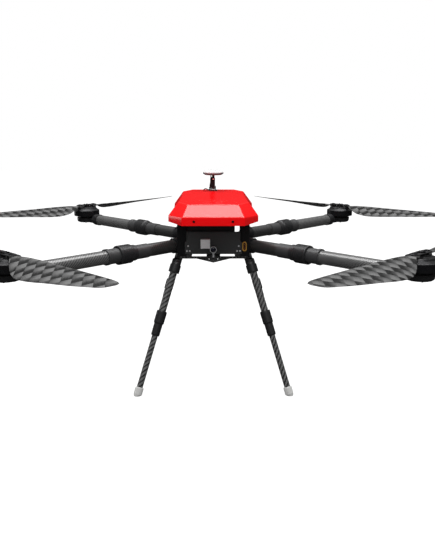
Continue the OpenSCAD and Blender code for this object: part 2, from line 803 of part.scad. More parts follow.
// Points of one blade section, round at the leading edge and thin at the trailing edge
function blade_section(s, lead) = [for (k = [0:section_n - 1]) let (
    a = 360 * k / section_n,
    c = (1 - cos(a)) / 2,
    half = s[5] / 2 * sin(a) * (1 - 0.45 * c),
    bow = s[4] == 0 ? 0 : s[5] * 0.8 * c * (1 - c)
) [
    lead * (s[1] - c * (s[1] + s[2])),
    fold_r + s[0] * (prop_radius - fold_r),
    blade_mid + s[3] - c * (s[3] + s[4]) + half + bow
]];

// One carbon blade along +Y, its leading edge on the side that lead points to, with a bored root
module blade(lead) {
    n = len(BLADE);
    m = section_n;
    points = [for (s = BLADE) each blade_section(s, lead)];
    skin = [for (j = [0:n - 2], k = [0:m - 1]) let (
        a = j * m + k, b = j * m + (k + 1) % m, c = a + m, d = b + m
    ) each (lead > 0 ? [[a, b, c], [b, d, c]] : [[a, c, b], [b, c, d]])];
    forward = [for (k = [0:m - 1]) k];
    back = [for (k = [m - 1:-1:0]) k];
    tip = (n - 1) * m;
    caps = [lead > 0 ? back : forward, [for (k = lead > 0 ? forward : back) tip + k]];
    color("#3a3a3a") difference() {
        union() {
            translate([0, fold_r, blade_z0]) cylinder(h = root_t, r = hub_rad - 0.5);
            polyhedron(points, concat(skin, caps), convexity = 6);
        }
        translate([0, fold_r, blade_z0 - 20]) cylinder(h = 40, r = fold_bolt_d / 2 + run_fit);
    }
}

// Sense of rotation of each motor seen from above: anticlockwise is 1
SPIN = [1, -1, -1, 1];

module blade_a(i) on_motor(i) blade(-SPIN[i]);

module blade_b(i) on_motor(i) rotate([0, 0, 180]) blade(-SPIN[i]);

// ---- assembly ------------------------------------------------------------------------------------

hood();
hood_brackets();
frame_screws();
top_deck();
bottom_deck();
corner_posts();
arm_roots();
root_sleeves();
front_panel();
battery_tray();
battery();
avionics_tray();
speed_controllers();
flight_controller();
power_port();
signal_module();
camera_foot();
camera();
gnss_base();
gnss_mast();
gnss_antenna();
mast_lead();
hood_lead();
leg_clamps();
leg_upper_tubes();
leg_couplers();
leg_lower_tubes();
leg_feet();
arm_tube(0);  // arm_tube_fl
arm_plug(0);  // arm_plug_fl
lock_collar(0);  // lock_collar_fl
motor_mount(0);  // motor_mount_fl
motor_bell(0);  // motor_bell_fl
prop_hub(0);  // prop_hub_fl
blade_a(0);  // blade_a_fl
blade_b(0);  // blade_b_fl
arm_tube(1);  // arm_tube_fr
arm_plug(1);  // arm_plug_fr
lock_collar(1);  // lock_collar_fr
motor_mount(1);  // motor_mount_fr
motor_bell(1);  // motor_bell_fr
prop_hub(1);  // prop_hub_fr
blade_a(1);  // blade_a_fr
blade_b(1);  // blade_b_fr
arm_tube(2);  // arm_tube_rl
arm_plug(2);  // arm_plug_rl
lock_collar(2);  // lock_collar_rl
motor_mount(2);  // motor_mount_rl
motor_bell(2);  // motor_bell_rl
prop_hub(2);  // prop_hub_rl
blade_a(2);  // blade_a_rl
blade_b(2);  // blade_b_rl
arm_tube(3);  // arm_tube_rr
arm_plug(3);  // arm_plug_rr
lock_collar(3);  // lock_collar_rr
motor_mount(3);  // motor_mount_rr
motor_bell(3);  // motor_bell_rr
prop_hub(3);  // prop_hub_rr
blade_a(3);  // blade_a_rr
blade_b(3);  // blade_b_rr
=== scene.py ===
import json
import math

import bmesh
import bpy
from mathutils import Matrix, Vector


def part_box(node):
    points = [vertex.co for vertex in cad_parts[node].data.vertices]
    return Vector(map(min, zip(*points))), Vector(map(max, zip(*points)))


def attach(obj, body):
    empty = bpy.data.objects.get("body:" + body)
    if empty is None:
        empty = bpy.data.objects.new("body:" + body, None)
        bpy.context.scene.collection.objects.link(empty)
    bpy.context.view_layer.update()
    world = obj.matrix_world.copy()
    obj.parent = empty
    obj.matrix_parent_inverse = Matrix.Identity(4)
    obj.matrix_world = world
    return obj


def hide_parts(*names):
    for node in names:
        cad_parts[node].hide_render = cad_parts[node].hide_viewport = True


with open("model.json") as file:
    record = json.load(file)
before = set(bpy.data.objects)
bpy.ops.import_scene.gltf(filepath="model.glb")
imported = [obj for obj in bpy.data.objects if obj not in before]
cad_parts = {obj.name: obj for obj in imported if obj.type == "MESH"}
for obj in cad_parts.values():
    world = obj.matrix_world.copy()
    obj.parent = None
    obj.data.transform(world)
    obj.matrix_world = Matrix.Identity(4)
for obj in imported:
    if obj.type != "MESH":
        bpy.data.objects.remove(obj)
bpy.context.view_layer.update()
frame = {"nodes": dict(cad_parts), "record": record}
scene = bpy.context.scene
MM = 0.001

# ---- Camera ----------------------------------------------------------------------------------------
# A camera on a tripod in front of the nose, a little above the propellers and pitched down onto the
# hood, far enough away that the front motors reach the edges of the frame.
camera_data = bpy.data.cameras.new("studio_camera")
camera_data.sensor_width = 36
camera_data.lens = 42.39
PITCH_DOWN, YAW = 12.41, -0.38
camera = bpy.data.objects.new("studio_camera", camera_data)
camera.location = (0, -1.83179, 0.69164)
camera.rotation_euler = (math.radians(90 - PITCH_DOWN), 0, math.radians(YAW))
scene.collection.objects.link(camera)
scene.camera = camera
scene.view_settings.view_transform = "Standard"


# ---- Studio ----------------------------------------------------------------------------------------
# A white infinity floor in a white room. The walls behind the craft are flagged dark for what the
# paint mirrors, and large soft boxes hang in front, overhead and behind the left side.
def add(tree, kind, inputs=(), **settings):
    """Adds a node to a tree; an input is a plain value or another node's output."""
    made = tree.nodes.new(kind)
    for key, value in settings.items():
        setattr(made, key, value)
    for key, value in dict(inputs).items():
        if isinstance(value, bpy.types.NodeSocket):
            tree.links.new(value, made.inputs[key])
        else:
            made.inputs[key].default_value = value
    return made


def calc(tree, operation, *values):
    """One step of arithmetic in a node tree."""
    return add(tree, "ShaderNodeMath", dict(enumerate(values)), operation=operation).outputs[0]


def ramp(tree, factor, stops, interpolation="LINEAR"):
    """A colour ramp over stops given as (place, colour), where a colour may be one grey number."""
    node = add(tree, "ShaderNodeValToRGB", {"Fac": factor})
    band = node.color_ramp
    band.interpolation = interpolation
    while len(band.elements) < len(stops):
        band.elements.new(0.5)
    for element, (place, colour) in zip(band.elements, stops):
        element.position = place
        element.color = (*([colour] * 3 if isinstance(colour, (int, float)) else colour), 1)
    return node.outputs["Color"]


room = bpy.data.worlds.new("white_room")
scene.world = room
room.use_nodes = True
room.node_tree.nodes.clear()
tree = room.node_tree
sky = add(tree, "ShaderNodeSeparateXYZ", {0: add(tree, "ShaderNodeTexCoord").outputs["Generated"]})
upward = add(tree, "ShaderNodeMapRange", {"Value": sky.outputs["Z"], "From Min": -1, "From Max": 1})
mirrored = ramp(tree, upward.outputs[0], [
    (0.0, 0.02), (0.50, 0.02), (0.56, 0.045), (0.62, 0.07), (0.78, 0.35), (1.0, 0.6)])
shining = ramp(tree, upward.outputs[0], [(0.0, 0.16), (0.45, 0.20), (0.55, 0.50), (0.80, 1.05), (1.0, 1.25)])
path = add(tree, "ShaderNodeLightPath").outputs
walls = add(tree, "ShaderNodeMix", {0: path["Is Glossy Ray"], 6: shining, 7: mirrored}, data_type="RGBA")
lit_room = add(tree, "ShaderNodeBackground", {"Color": walls.outputs[2], "Strength": 1.0})
white_room = add(tree, "ShaderNodeBackground", {"Color": (1, 1, 1, 1), "Strength": 1.0})
backdrop = add(tree, "ShaderNodeMixShader", {
    0: path["Is Camera Ray"], 1: lit_room.outputs[0], 2: white_room.outputs[0]})
add(tree, "ShaderNodeOutputWorld", {"Surface": backdrop.outputs[0]})


def softbox(name, width, height, power, place, aim):
    """A rectangular studio light that stands at one point and faces another."""
    lamp = bpy.data.lights.new(name, "AREA")
    lamp.shape = "RECTANGLE"
    lamp.size = width
    lamp.size_y = height
    lamp.energy = power
    holder = bpy.data.objects.new(name, lamp)
    holder.location = place
    holder.rotation_euler = (Vector(aim) - Vector(place)).to_track_quat("-Z", "Y").to_euler()
    scene.collection.objects.link(holder)


softbox("front_softbox", 1.6, 0.9, 36, (0.0, -2.05, 2.75), (0, -0.2, 0.45))
softbox("overhead_softbox", 3.4, 1.2, 84, (0.0, 0.55, 3.0), (0, 0, 0.4))
softbox("left_rear_softbox", 1.4, 1.1, 6, (-2.3, 1.9, 0.30), (0, -0.1, 0.45))

FLOOR_REACH = 9.0
floor_mesh = bpy.data.meshes.new("studio_floor")
floor_mesh.from_pydata(
    [(x * FLOOR_REACH, y * FLOOR_REACH, 0) for x, y in ((-1, -1), (1, -1), (1, 1), (-1, 1))],
    [], [(0, 1, 2, 3)])
floor = bpy.data.objects.new("studio_floor", floor_mesh)
scene.collection.objects.link(floor)
floor_paint = bpy.data.materials.new("white_floor")
floor_paint.use_nodes = True
floor_paint.node_tree.nodes.clear()
tree = floor_paint.node_tree
path = add(tree, "ShaderNodeLightPath").outputs
FLOOR_TONE, FLOOR_MIRRORED, FLOOR_GLOW = (0.20, 0.20, 0.20, 1), (0.02, 0.02, 0.02, 1), 0.86
tint = add(tree, "ShaderNodeMix", {0: path["Is Glossy Ray"], 6: FLOOR_TONE, 7: FLOOR_MIRRORED},
           data_type="RGBA")
matt = add(tree, "ShaderNodeBsdfDiffuse", {"Color": tint.outputs[2]})
glow = add(tree, "ShaderNodeEmission", {"Color": (1, 1, 1, 1), "Strength": FLOOR_GLOW})
bright = add(tree, "ShaderNodeAddShader", {0: matt.outputs[0], 1: glow.outputs[0]})
cover = add(tree, "ShaderNodeMixShader", {0: path["Is Camera Ray"], 1: matt.outputs[0], 2: bright.outputs[0]})
add(tree, "ShaderNodeOutputMaterial", {"Surface": cover.outputs[0]})
floor_mesh.materials.append(floor_paint)


# ---- Antenna leads ---------------------------------------------------------------------------------
# A thin coaxial lead in black rubber. It comes down the mast, crosses the hinge in a small loop and
# goes through a grommet in the hood, so one stretch moves with the mast and one stays on the hood.
LEAD_D = 3 * MM
mast_low, mast_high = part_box("gnss_mast")
hood_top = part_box("hood")[1].z
mast_foot = Vector((0, (mast_low.y + mast_high.y) / 2, hood_top))
HOOD_LEAD = [
    (-10.5, 0, 6.3), (-10.5, 0, 5.5), (-11.6, 0, 3.8), (-14.2, 0, 2.7), (-17.5, 0.5, 3.2), (-20.5, 1, 4.6),
    (-23.5, 1.5, 5.4), (-26.8, 2, 4.8), (-29.2, 2, 3.2), (-30, 2, 1.4), (-30, 2, 0.6), (-30, 2, 0),
]
MAST_LEAD = [
    (-7.5, 0, 49), (-7.5, 0, 44), (-7.6, 0, 38), (-7.9, 0, 32), (-8.7, 0, 26), (-9.8, 0, 20), (-10.5, 0, 15),
    (-10.5, 0, 13), (-10.5, 0, 11.7),
]


def finish(name, colour, second, roughness, scale, bump=0.0, depth=0.1 * MM, spread=0.08,
           stretch=(1, 1, 1), detail=4, **sockets):
    """A finish whose colour and roughness drift between two tones, with a fine surface grain."""
    made = bpy.data.materials.new(name)
    made.use_nodes = True
    grain = made.node_tree
    shader = grain.nodes["Principled BSDF"]
    place = add(grain, "ShaderNodeTexCoord").outputs["Object"]
    mapped = add(grain, "ShaderNodeMapping", {"Vector": place, "Scale": stretch}).outputs[0]
    noise = add(grain, "ShaderNodeTexNoise", {"Vector": mapped, "Scale": scale, "Detail": detail})
    tone = ramp(grain, noise.outputs["Fac"], [(0.35, colour), (0.68, second)])
    grain.links.new(tone, shader.inputs["Base Color"])
    broad = add(grain, "ShaderNodeTexNoise", {"Vector": place, "Scale": 23.0, "Detail": 3})
    gloss = add(grain, "ShaderNodeMapRange", {
        "Value": broad.outputs["Fac"], "From Min": 0.3, "From Max": 0.7,
        "To Min": roughness - spread / 2, "To Max": roughness + spread / 2})
    grain.links.new(gloss.outputs[0], shader.inputs["Roughness"])
    if bump:
        relief = add(grain, "ShaderNodeBump", {
            "Height": noise.outputs["Fac"], "Strength": bump, "Distance": depth})
        grain.links.new(relief.outputs[0], shader.inputs["Normal"])
    for socket, value in sockets.items():
        shader.inputs[socket.replace("_", " ")].default_value = value
    return made


lead_rubber = finish("black_lead_rubber", (0.012, 0.012, 0.013), (0.02, 0.02, 0.021), 0.5, 900.0,
                     bump=0.2)


def lead(name, route, body, node):
    """A smooth round lead that follows a list of points given in millimetres."""
    line = bpy.data.curves.new(name, "CURVE")
    line.dimensions = "3D"
    line.bevel_depth = LEAD_D / 2
    line.bevel_resolution = 5
    line.resolution_u = 6
    line.use_fill_caps = True
    spline = line.splines.new("BEZIER")
    spline.bezier_points.add(len(route) - 1)
    for point, place in zip(spline.bezier_points, route):
        point.co = mast_foot + Vector(place) * MM
        point.handle_left_type = point.handle_right_type = "AUTO"
    line.materials.append(lead_rubber)
    piece = bpy.data.objects.new(name, line)
    scene.collection.objects.link(piece)
    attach(piece, body)
    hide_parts(node)


lead("antenna_lead_hood", HOOD_LEAD, "frame", "hood_lead")
lead("antenna_lead_mast", MAST_LEAD, "mast", "mast_lead")


# ---- Decks -----------------------------------------------------------------------------------------
# Two plates cut on a router from 4 mm twill carbon sheet, bolted to the ends of the corner posts.
# Their cut edges are lightly broken and the faces keep the pressed, glossy resin.
def woven(name, tow, turn, dark, light, over=2, from_uv=False, roughness=0.3, relief=0.25,
          streak=0.35, coat=0.4, fold=0.5, **sockets):
    """Woven carbon: tows of one width cross over and under, each crowned and streaked along its fibres. The
    colour carries painted light: weft tows are painted lighter than warp tows as painted reflection, each tow
    is painted lighter at the start of its run as painted sheen, and darker towards its side edges as painted
    shade.
    """
    made = bpy.data.materials.new(name)
    made.use_nodes = True
    cloth = made.node_tree
    shader = cloth.nodes["Principled BSDF"]

    def plus(a, b):
        return calc(cloth, "ADD", a, b)

    def minus(a, b):
        return calc(cloth, "SUBTRACT", a, b)

    def times(a, b):
        return calc(cloth, "MULTIPLY", a, b)

    def crown(value):
        """0 at both ends of the run from 0 to 1, and 1 at its middle."""
        return times(times(value, minus(1.0, value)), 4.0)

    def wrapped(value):
        return calc(cloth, "FLOORED_MODULO", value, 2.0 * over)

    source = add(cloth, "ShaderNodeTexCoord").outputs["UV" if from_uv else "Object"]
    turned_place = add(cloth, "ShaderNodeMapping", {
        "Vector": source, "Rotation": (0, 0, math.radians(turn)), "Scale": (1 / tow, 1 / tow, 1 / tow)})
    split = add(cloth, "ShaderNodeSeparateXYZ", {0: turned_place.outputs[0]})
    across, along = split.outputs["X"], split.outputs["Y"]
    column, row = calc(cloth, "FLOOR", across), calc(cloth, "FLOOR", along)
    warp_up = calc(cloth, "LESS_THAN", wrapped(plus(column, row)), float(over))
    warp_run = calc(cloth, "DIVIDE", wrapped(plus(column, along)), float(over))
    weft_run = minus(calc(cloth, "DIVIDE", wrapped(plus(across, row)), float(over)), 1.0)

    def pick(if_weft, if_warp):
        return add(cloth, "ShaderNodeMix", {0: warp_up, 2: if_weft, 3: if_warp}).outputs[0]

    back = pick(crown(calc(cloth, "FRACT", along)), crown(calc(cloth, "FRACT", across)))
    run = pick(weft_run, warp_run)
    stretch = add(cloth, "ShaderNodeCombineXYZ", {
        0: times(across, pick(0.6, 14.0)), 1: times(along, pick(14.0, 0.6)), 2: warp_up})
    fibre = add(cloth, "ShaderNodeTexNoise", {"Vector": stretch.outputs[0], "Scale": 1.0, "Detail": 3})
    patch = add(cloth, "ShaderNodeCombineXYZ", {0: column, 1: row, 2: warp_up})
    chance = add(cloth, "ShaderNodeTexWhiteNoise", {"Vector": patch.outputs[0]}, noise_dimensions="3D")
    # Painted reflection: weft tows get a far lighter colour than warp tows, standing in for the light their
    # fibres reflect.
    tone = plus(pick(0.74, 0.06), times(chance.outputs["Value"], 0.22))
    tone = plus(tone, times(minus(fibre.outputs["Fac"], 0.5), streak))
    # Painted sheen: each tow is painted lighter at the start of its run and darker towards its end, by the
    # fold setting.
    tone = minus(tone, times(minus(run, 0.5), fold))
    # Painted shade: each tow's colour is darkened towards its side edges, where it dips under its neighbours.
    tone = times(tone, plus(0.45, times(calc(cloth, "POWER", back, 0.35), 0.55)))
    colour = ramp(cloth, tone, [(0.12, dark), (0.95, light)])
    cloth.links.new(colour, shader.inputs["Base Color"])
    height = plus(times(back, 0.45), times(crown(run), 0.55))
    bump = add(cloth, "ShaderNodeBump", {"Height": height, "Strength": relief, "Distance": tow * 0.06})
    cloth.links.new(bump.outputs[0], shader.inputs["Normal"])
    gloss = plus(roughness, times(fibre.outputs["Fac"], 0.12))
    cloth.links.new(gloss, shader.inputs["Roughness"])
    shader.inputs["Coat Weight"].default_value = coat
    shader.inputs["Coat Roughness"].default_value = 0.12
    for socket, value in sockets.items():
        shader.inputs[socket.replace("_", " ")].default_value = value
    return made


def shaded(mesh, angle=32):
    """Smooth shading that stays crisp where faces meet at more than the angle."""
    mesh.shade_smooth()
    mesh.set_sharp_from_angle(angle=math.radians(angle))


def fitted(piece, body, slot, *nodes):
    """Fastens a finished piece to its body and stands it in for its CAD nodes."""
    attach(piece, body)
    if nodes:
        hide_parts(*nodes)
    return piece


def settle(piece):
    """Turns a piece with modifiers into a plain mesh."""
    bpy.context.view_layer.update()
    plain = bpy.data.meshes.new_from_object(piece.evaluated_get(bpy.context.evaluated_depsgraph_get()))
    piece.modifiers.clear()
    piece.data = plain
    return piece


def dressed(node, name, material, body, slot, edge=0.5 * MM, steps=2, angle=32):
    """A copy of a CAD node with its triangles merged into faces and its edges broken."""
    shape = bmesh.new()
    shape.from_mesh(frame["nodes"][node].data)
    bmesh.ops.remove_doubles(shape, verts=shape.verts, dist=0.002 * MM)
    bmesh.ops.dissolve_limit(
        shape, angle_limit=math.radians(0.6), verts=shape.verts, edges=shape.edges,
        use_dissolve_boundaries=False)
    mesh = bpy.data.meshes.new(name)
    shape.to_mesh(mesh)
    shape.free()
    mesh.materials.clear()
    mesh.materials.append(material)
    for face in mesh.polygons:
        face.material_index = 0
    piece = bpy.data.objects.new(name, mesh)
    scene.collection.objects.link(piece)
    bevel = piece.modifiers.new("broken_edges", "BEVEL")
    bevel.width = edge
    bevel.segments = steps
    bevel.limit_method = "ANGLE"
    bevel.angle_limit = math.radians(angle)
    settle(piece)
    shaded(piece.data, angle)
    return fitted(piece, body, slot, node)


plate_carbon = woven("deck_twill_carbon", 2.2 * MM, 0, 0.008, 0.05, roughness=0.32, relief=0.3)
dressed("bottom_deck", "lower_deck", plate_carbon, "frame", "carbon_plate", 0.35 * MM)
dressed("top_deck", "upper_deck", plate_carbon, "frame", "carbon_plate", 0.35 * MM)


# ---- Corner posts ----------------------------------------------------------------------------------
# Four milled aluminium posts, black anodised, that join the decks and clamp the arm roots. Two cap
# screws close each clamp, and one goes up through the lower deck into each post.
anodised = finish("black_anodised", (0.008, 0.008, 0.009), (0.014, 0.014, 0.016), 0.42, 420.0,
                  bump=0.12, depth=0.05 * MM, Metallic=0.35)
dressed("corner_posts", "corner_posts_and_clamps", anodised, "frame", "black_anodised", 1.0 * MM, 3)


def node_group(name, *labels):
    """A new geometry tree with named inputs: the tree, their identifiers and their sockets inside it."""
    tree = bpy.data.node_groups.new(name, "GeometryNodeTree")
    identifiers = {}
    for label, kind in (*labels, ("Finish", "Material")):
        socket = tree.interface.new_socket(label, in_out="INPUT", socket_type="NodeSocket" + kind)
        identifiers[label] = socket.identifier
    tree.interface.new_socket("Pieces", in_out="OUTPUT", socket_type="NodeSocketGeometry")
    return tree, identifiers, add(tree, "NodeGroupInput").outputs


def closed_group(tree, geometry, given):
    """Ends a geometry tree with real geometry in its finish."""
    real = add(tree, "GeometryNodeRealizeInstances", {"Geometry": geometry})
    coated = add(tree, "GeometryNodeSetMaterial", {"Geometry": real.outputs[0], "Material": given["Finish"]})
    add(tree, "NodeGroupOutput", {0: coated.outputs[0]})


def joined(tree, *parts):
    """Several outputs of a geometry tree as one."""
    made = add(tree, "GeometryNodeJoinGeometry")
    for part in parts:
        tree.links.new(part.outputs[0], made.inputs[0])
    return made.outputs[0]


screw_tree, SCREW_INPUTS, given = node_group(
    "socket_screws", ("Places", "Geometry"), ("Head Radius", "Float"), ("Head Height", "Float"),
    ("Socket Radius", "Float"))
rim = add(screw_tree, "GeometryNodeCurvePrimitiveCircle", {
    "Resolution": 28, "Radius": given["Head Radius"]})
hexagon = add(screw_tree, "GeometryNodeCurvePrimitiveCircle", {
    "Resolution": 6, "Radius": given["Socket Radius"]})
face = add(screw_tree, "GeometryNodeFillCurve", {"Curve": joined(screw_tree, rim, hexagon)})
chamfer = calc(screw_tree, "MULTIPLY", given["Head Height"], 0.3)
lower = add(screw_tree, "ShaderNodeCombineXYZ", {
    2: calc(screw_tree, "SUBTRACT", given["Head Height"], chamfer)})
up = add(screw_tree, "GeometryNodeExtrudeMesh", {
    "Mesh": face.outputs[0], "Offset": lower.outputs[0], "Offset Scale": 1.0, "Individual": False})
crest = add(screw_tree, "ShaderNodeCombineXYZ", {2: chamfer})
top = add(screw_tree, "GeometryNodeExtrudeMesh", {
    "Mesh": up.outputs["Mesh"], "Selection": up.outputs["Top"], "Offset": crest.outputs[0],
    "Offset Scale": 1.0, "Individual": False})
drawn_in = add(screw_tree, "GeometryNodeScaleElements", {
    "Geometry": top.outputs["Mesh"], "Selection": top.outputs["Top"], "Scale": 0.88})
well = add(screw_tree, "GeometryNodeMeshCircle", {
    "Vertices": 6, "Radius": calc(screw_tree, "MULTIPLY", given["Socket Radius"], 1.02)}, fill_type="NGON")
bottom = add(screw_tree, "GeometryNodeTransform", {
    "Geometry": well.outputs[0], "Translation": crest.outputs[0]})
facing = add(screw_tree, "GeometryNodeInputNamedAttribute", {"Name": "facing"}, data_type="FLOAT_VECTOR")
spin = add(screw_tree, "FunctionNodeAlignEulerToVector", {"Vector": facing.outputs[0]}, axis="Z")
placed = add(screw_tree, "GeometryNodeInstanceOnPoints", {
    "Points": given["Places"], "Instance": joined(screw_tree, drawn_in, bottom), "Rotation": spin.outputs[0]})
closed_group(screw_tree, placed.outputs[0], given)


def screws(name, places, head_radius, head_height, material, body, slot, *nodes):
    """Socket screws whose heads sit at (point, outward direction), on one body."""
    mesh = bpy.data.meshes.new(name)
    mesh.from_pydata([point for point, _ in places], [], [])
    facing_each = mesh.attributes.new("facing", "FLOAT_VECTOR", "POINT")
    for item, (_, outward) in zip(facing_each.data, places):
        item.vector = Vector(outward)
    piece = bpy.data.objects.new(name, mesh)
    scene.collection.objects.link(piece)
    heads = piece.modifiers.new("heads", "NODES")
    heads.node_group = screw_tree
    values = {"Head Radius": head_radius, "Head Height": head_height,
              "Socket Radius": head_radius * 0.52, "Finish": material}
    for label, value in values.items():
        heads[SCREW_INPUTS[label]] = value
    settle(piece)
    shaded(piece.data)
    return fitted(piece, body, slot, *nodes)


bolt_black = finish("black_oxide_bolts", (0.010, 0.010, 0.011), (0.022, 0.022, 0.024), 0.36, 700.0,
                    bump=0.1, depth=0.03 * MM, Metallic=0.8)
zinc_plate = finish("zinc_plate", (0.74, 0.74, 0.75), (0.86, 0.86, 0.87), 0.30, 300.0,
                    bump=0.05, depth=0.02 * MM, Metallic=0.3)

deck_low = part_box("bottom_deck")[0]
CORNERS = [(sx, sy) for sx in (-1, 1) for sy in (-1, 1)]
POST_X, LOWER_BOLT_YS, UPPER_BOLT_Y = 90.5 * MM, (100 * MM, 118 * MM), 121 * MM
post_bolts = [
    (Vector((sx * POST_X, sy * y, deck_low.z)), (0, 0, -1)) for sx, sy in CORNERS for y in LOWER_BOLT_YS]
screws("lower_post_bolts", post_bolts, 3.4 * MM, 2.0 * MM, bolt_black, "frame", "bolt_black")


# ---- Front panel and screws ------------------------------------------------------------------------
# A moulded cover in dark grey plastic with a fine satin grain. It stands between the front posts on two
# feet, held by three small zinc-plated screws a side. The hood has two dark screws front and rear.
panel_plastic = finish("dark_grey_panel", (0.036, 0.037, 0.038), (0.048, 0.049, 0.050), 0.46, 1500.0,
                       bump=0.25, depth=0.03 * MM)
dressed("front_panel", "front_cover", panel_plastic, "frame", "black_plastic", 0.9 * MM, 3)

panel_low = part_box("front_panel")[0]
hood_low, hood_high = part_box("hood")
PANEL_SCREWS = ((69, 31), (72.5, 17.5), (64.5, 17.5))
DECK_T = 4 * MM
silver_places = [
    (Vector((side * x * MM, panel_low.y, deck_low.z + DECK_T + z * MM)), (0, -1, 0))
    for side in (-1, 1) for x, z in PANEL_SCREWS]
screws("panel_screws", silver_places, 2.3 * MM, 1.3 * MM, zinc_plate, "frame", "steel", "frame_screws")
HOOD_SCREW = Vector((50 * MM, hood_high.y, hood_low.z + 11 * MM))
hood_places = [
    (Vector((sx * HOOD_SCREW.x, sy * HOOD_SCREW.y, HOOD_SCREW.z)), (0, sy, 0)) for sx, sy in CORNERS]
screws("hood_screws", hood_places, 3.2 * MM, 1.4 * MM, bolt_black, "frame", "bolt_black")
deck_places = [
    (Vector((sx * POST_X, sy * UPPER_BOLT_Y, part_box("top_deck")[1].z)), (0, 0, 1)) for sx, sy in CORNERS]
screws("upper_post_bolts", deck_places, 3.5 * MM, 2.0 * MM, bolt_black, "frame", "bolt_black")


# ---- Battery and its tray --------------------------------------------------------------------------
# A lithium pack in a moulded case that slides in from behind on a carbon tray with low side rails.
# The tray stands on four spacers, and a loop on the pack's rear end pulls it out.
tray_carbon = woven("tray_twill_carbon", 2.2 * MM, 45, 0.008, 0.045, roughness=0.36)
dressed("battery_tray", "battery_shelf", tray_carbon, "frame", "carbon_plate", 0.3 * MM)
case_plastic = finish("battery_case", (0.018, 0.018, 0.020), (0.030, 0.030, 0.032), 0.52, 1100.0,
                      bump=0.3, depth=0.04 * MM)
dressed("battery", "battery_pack", case_plastic, "battery", "battery_wrap", 2.2 * MM, 4)

row_tree, ROW_INPUTS, given = node_group(
    "row_of_bars", ("Count", "Int"), ("Step", "Vector"), ("Size", "Vector"), ("Start", "Vector"))
line = add(row_tree, "GeometryNodeMeshLine", {
    "Count": given["Count"], "Start Location": given["Start"], "Offset": given["Step"]})
bar = add(row_tree, "GeometryNodeMeshCube", {"Size": given["Size"]})
placed = add(row_tree, "GeometryNodeInstanceOnPoints", {
    "Points": line.outputs[0], "Instance": bar.outputs[0]})
closed_group(row_tree, placed.outputs[0], given)


def grown(name, tree, identifiers, values, place=None):
    """A plain mesh piece grown by a node tree from named values, then moved by a matrix."""
    piece = bpy.data.objects.new(name, bpy.data.meshes.new(name))
    scene.collection.objects.link(piece)
    nodes = piece.modifiers.new("grow", "NODES")
    nodes.node_group = tree
    for label, value in values.items():
        nodes[identifiers[label]] = value
    settle(piece)
    if place is not None:
        piece.data.transform(place)
    return piece


battery_low, battery_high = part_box("battery")
RIBS, RIB_STEP, RIB_LENGTH = 9, 5.5 * MM, 160 * MM
for side, label in ((-1, "left"), (1, "right")):
    ribs = grown("battery_ribs_" + label, row_tree, ROW_INPUTS, {
        "Count": RIBS, "Step": (0, 0, RIB_STEP), "Size": (0.5 * MM, RIB_LENGTH, 2.0 * MM),
        "Finish": case_plastic,
        "Start": (side * (battery_high.x - 0.2 * MM), -2 * MM, battery_low.z + 8 * MM)})
    fitted(ribs, "battery", "battery_wrap")


# ---- Electronics -----------------------------------------------------------------------------------
# Four speed controllers lie in a shallow tray under the upper deck, each with a finned heat sink, and
# the flight controller sits on the upper deck under the hood, in its moulded case.
tray_plastic = finish("tray_plastic", (0.012, 0.012, 0.013), (0.018, 0.018, 0.019), 0.5, 900.0, bump=0.15)
dressed("avionics_tray", "electronics_tray", tray_plastic, "frame", "black_plastic", 0.6 * MM)
heat_sink = finish("heat_sink_aluminium", (0.16, 0.17, 0.18), (0.24, 0.25, 0.26), 0.35, 260.0,
                   bump=0.1, stretch=(1, 8, 1), Metallic=0.9)
dressed("speed_controllers", "speed_controller_cases", heat_sink, "frame", "board", 0.6 * MM)
controller_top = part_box("speed_controllers")[1].z
FINS, FIN_STEP, FIN_SIZE = 11, 3.8 * MM, (1.1 * MM, 74 * MM, 2.6 * MM)
for x, label in ((-31, "left"), (29, "right")):
    for y, end in ((-66, "front"), (66, "rear")):
        fins = grown(f"heat_sink_fins_{end}_{label}", row_tree, ROW_INPUTS, {
            "Count": FINS, "Step": (FIN_STEP, 0, 0), "Size": FIN_SIZE, "Finish": heat_sink,
            "Start": (x * MM - FIN_STEP * (FINS - 1) / 2, y * MM, controller_top + 1.2 * MM)})
        fitted(fins, "frame", "board")
controller_case = finish("controller_case", (0.05, 0.055, 0.06), (0.075, 0.08, 0.088), 0.4, 800.0, bump=0.2)
dressed("flight_controller", "autopilot_case", controller_case, "frame", "board", 1.5 * MM, 3)


# ---- Signal module ---------------------------------------------------------------------------------
# A small receiver in a light grey moulded box, screwed to the panel, with a raised rim round its face.
module_grey = finish("module_light_grey", (0.62, 0.62, 0.625), (0.70, 0.70, 0.705), 0.5, 1300.0,
                     bump=0.2, depth=0.03 * MM)
dressed("signal_module", "receiver_box", module_grey, "frame", "grey_plastic", 0.8 * MM, 3)


# ---- Power port ------------------------------------------------------------------------------------
# An oval charging socket in amber nylon on the front of the right-hand post. Two gilt pins stand in
# a dark red insert at its floor.
amber = finish("amber_nylon", (0.34, 0.17, 0.02), (0.46, 0.24, 0.035), 0.42, 900.0, bump=0.15)
dressed("power_port", "charging_socket", amber, "frame", "amber_plastic", 0.7 * MM, 3)
port_low, port_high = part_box("power_port")
port = (port_low + port_high) / 2


def oval(shape, centre, half_width, half_length, front, depth, arc=14):
    """An upright bar with round ends that faces forward, added to a shape."""
    straight = half_length - half_width
    rim = []
    for way in (1, -1):
        for k in range(arc + 1):
            angle = math.pi * k / arc + (0 if way == 1 else math.pi)
            rim.append((half_width * math.cos(angle), half_width * math.sin(angle) + way * straight))
    near = [shape.verts.new((centre.x + x, front, centre.z + z)) for x, z in rim]
    far = [shape.verts.new((centre.x + x, front + depth, centre.z + z)) for x, z in rim]
    shape.faces.new(near)
    shape.faces.new(far[::-1])
    for k in range(len(rim)):
        m = (k + 1) % len(rim)
        shape.faces.new((near[k], far[k], far[m], near[m]))


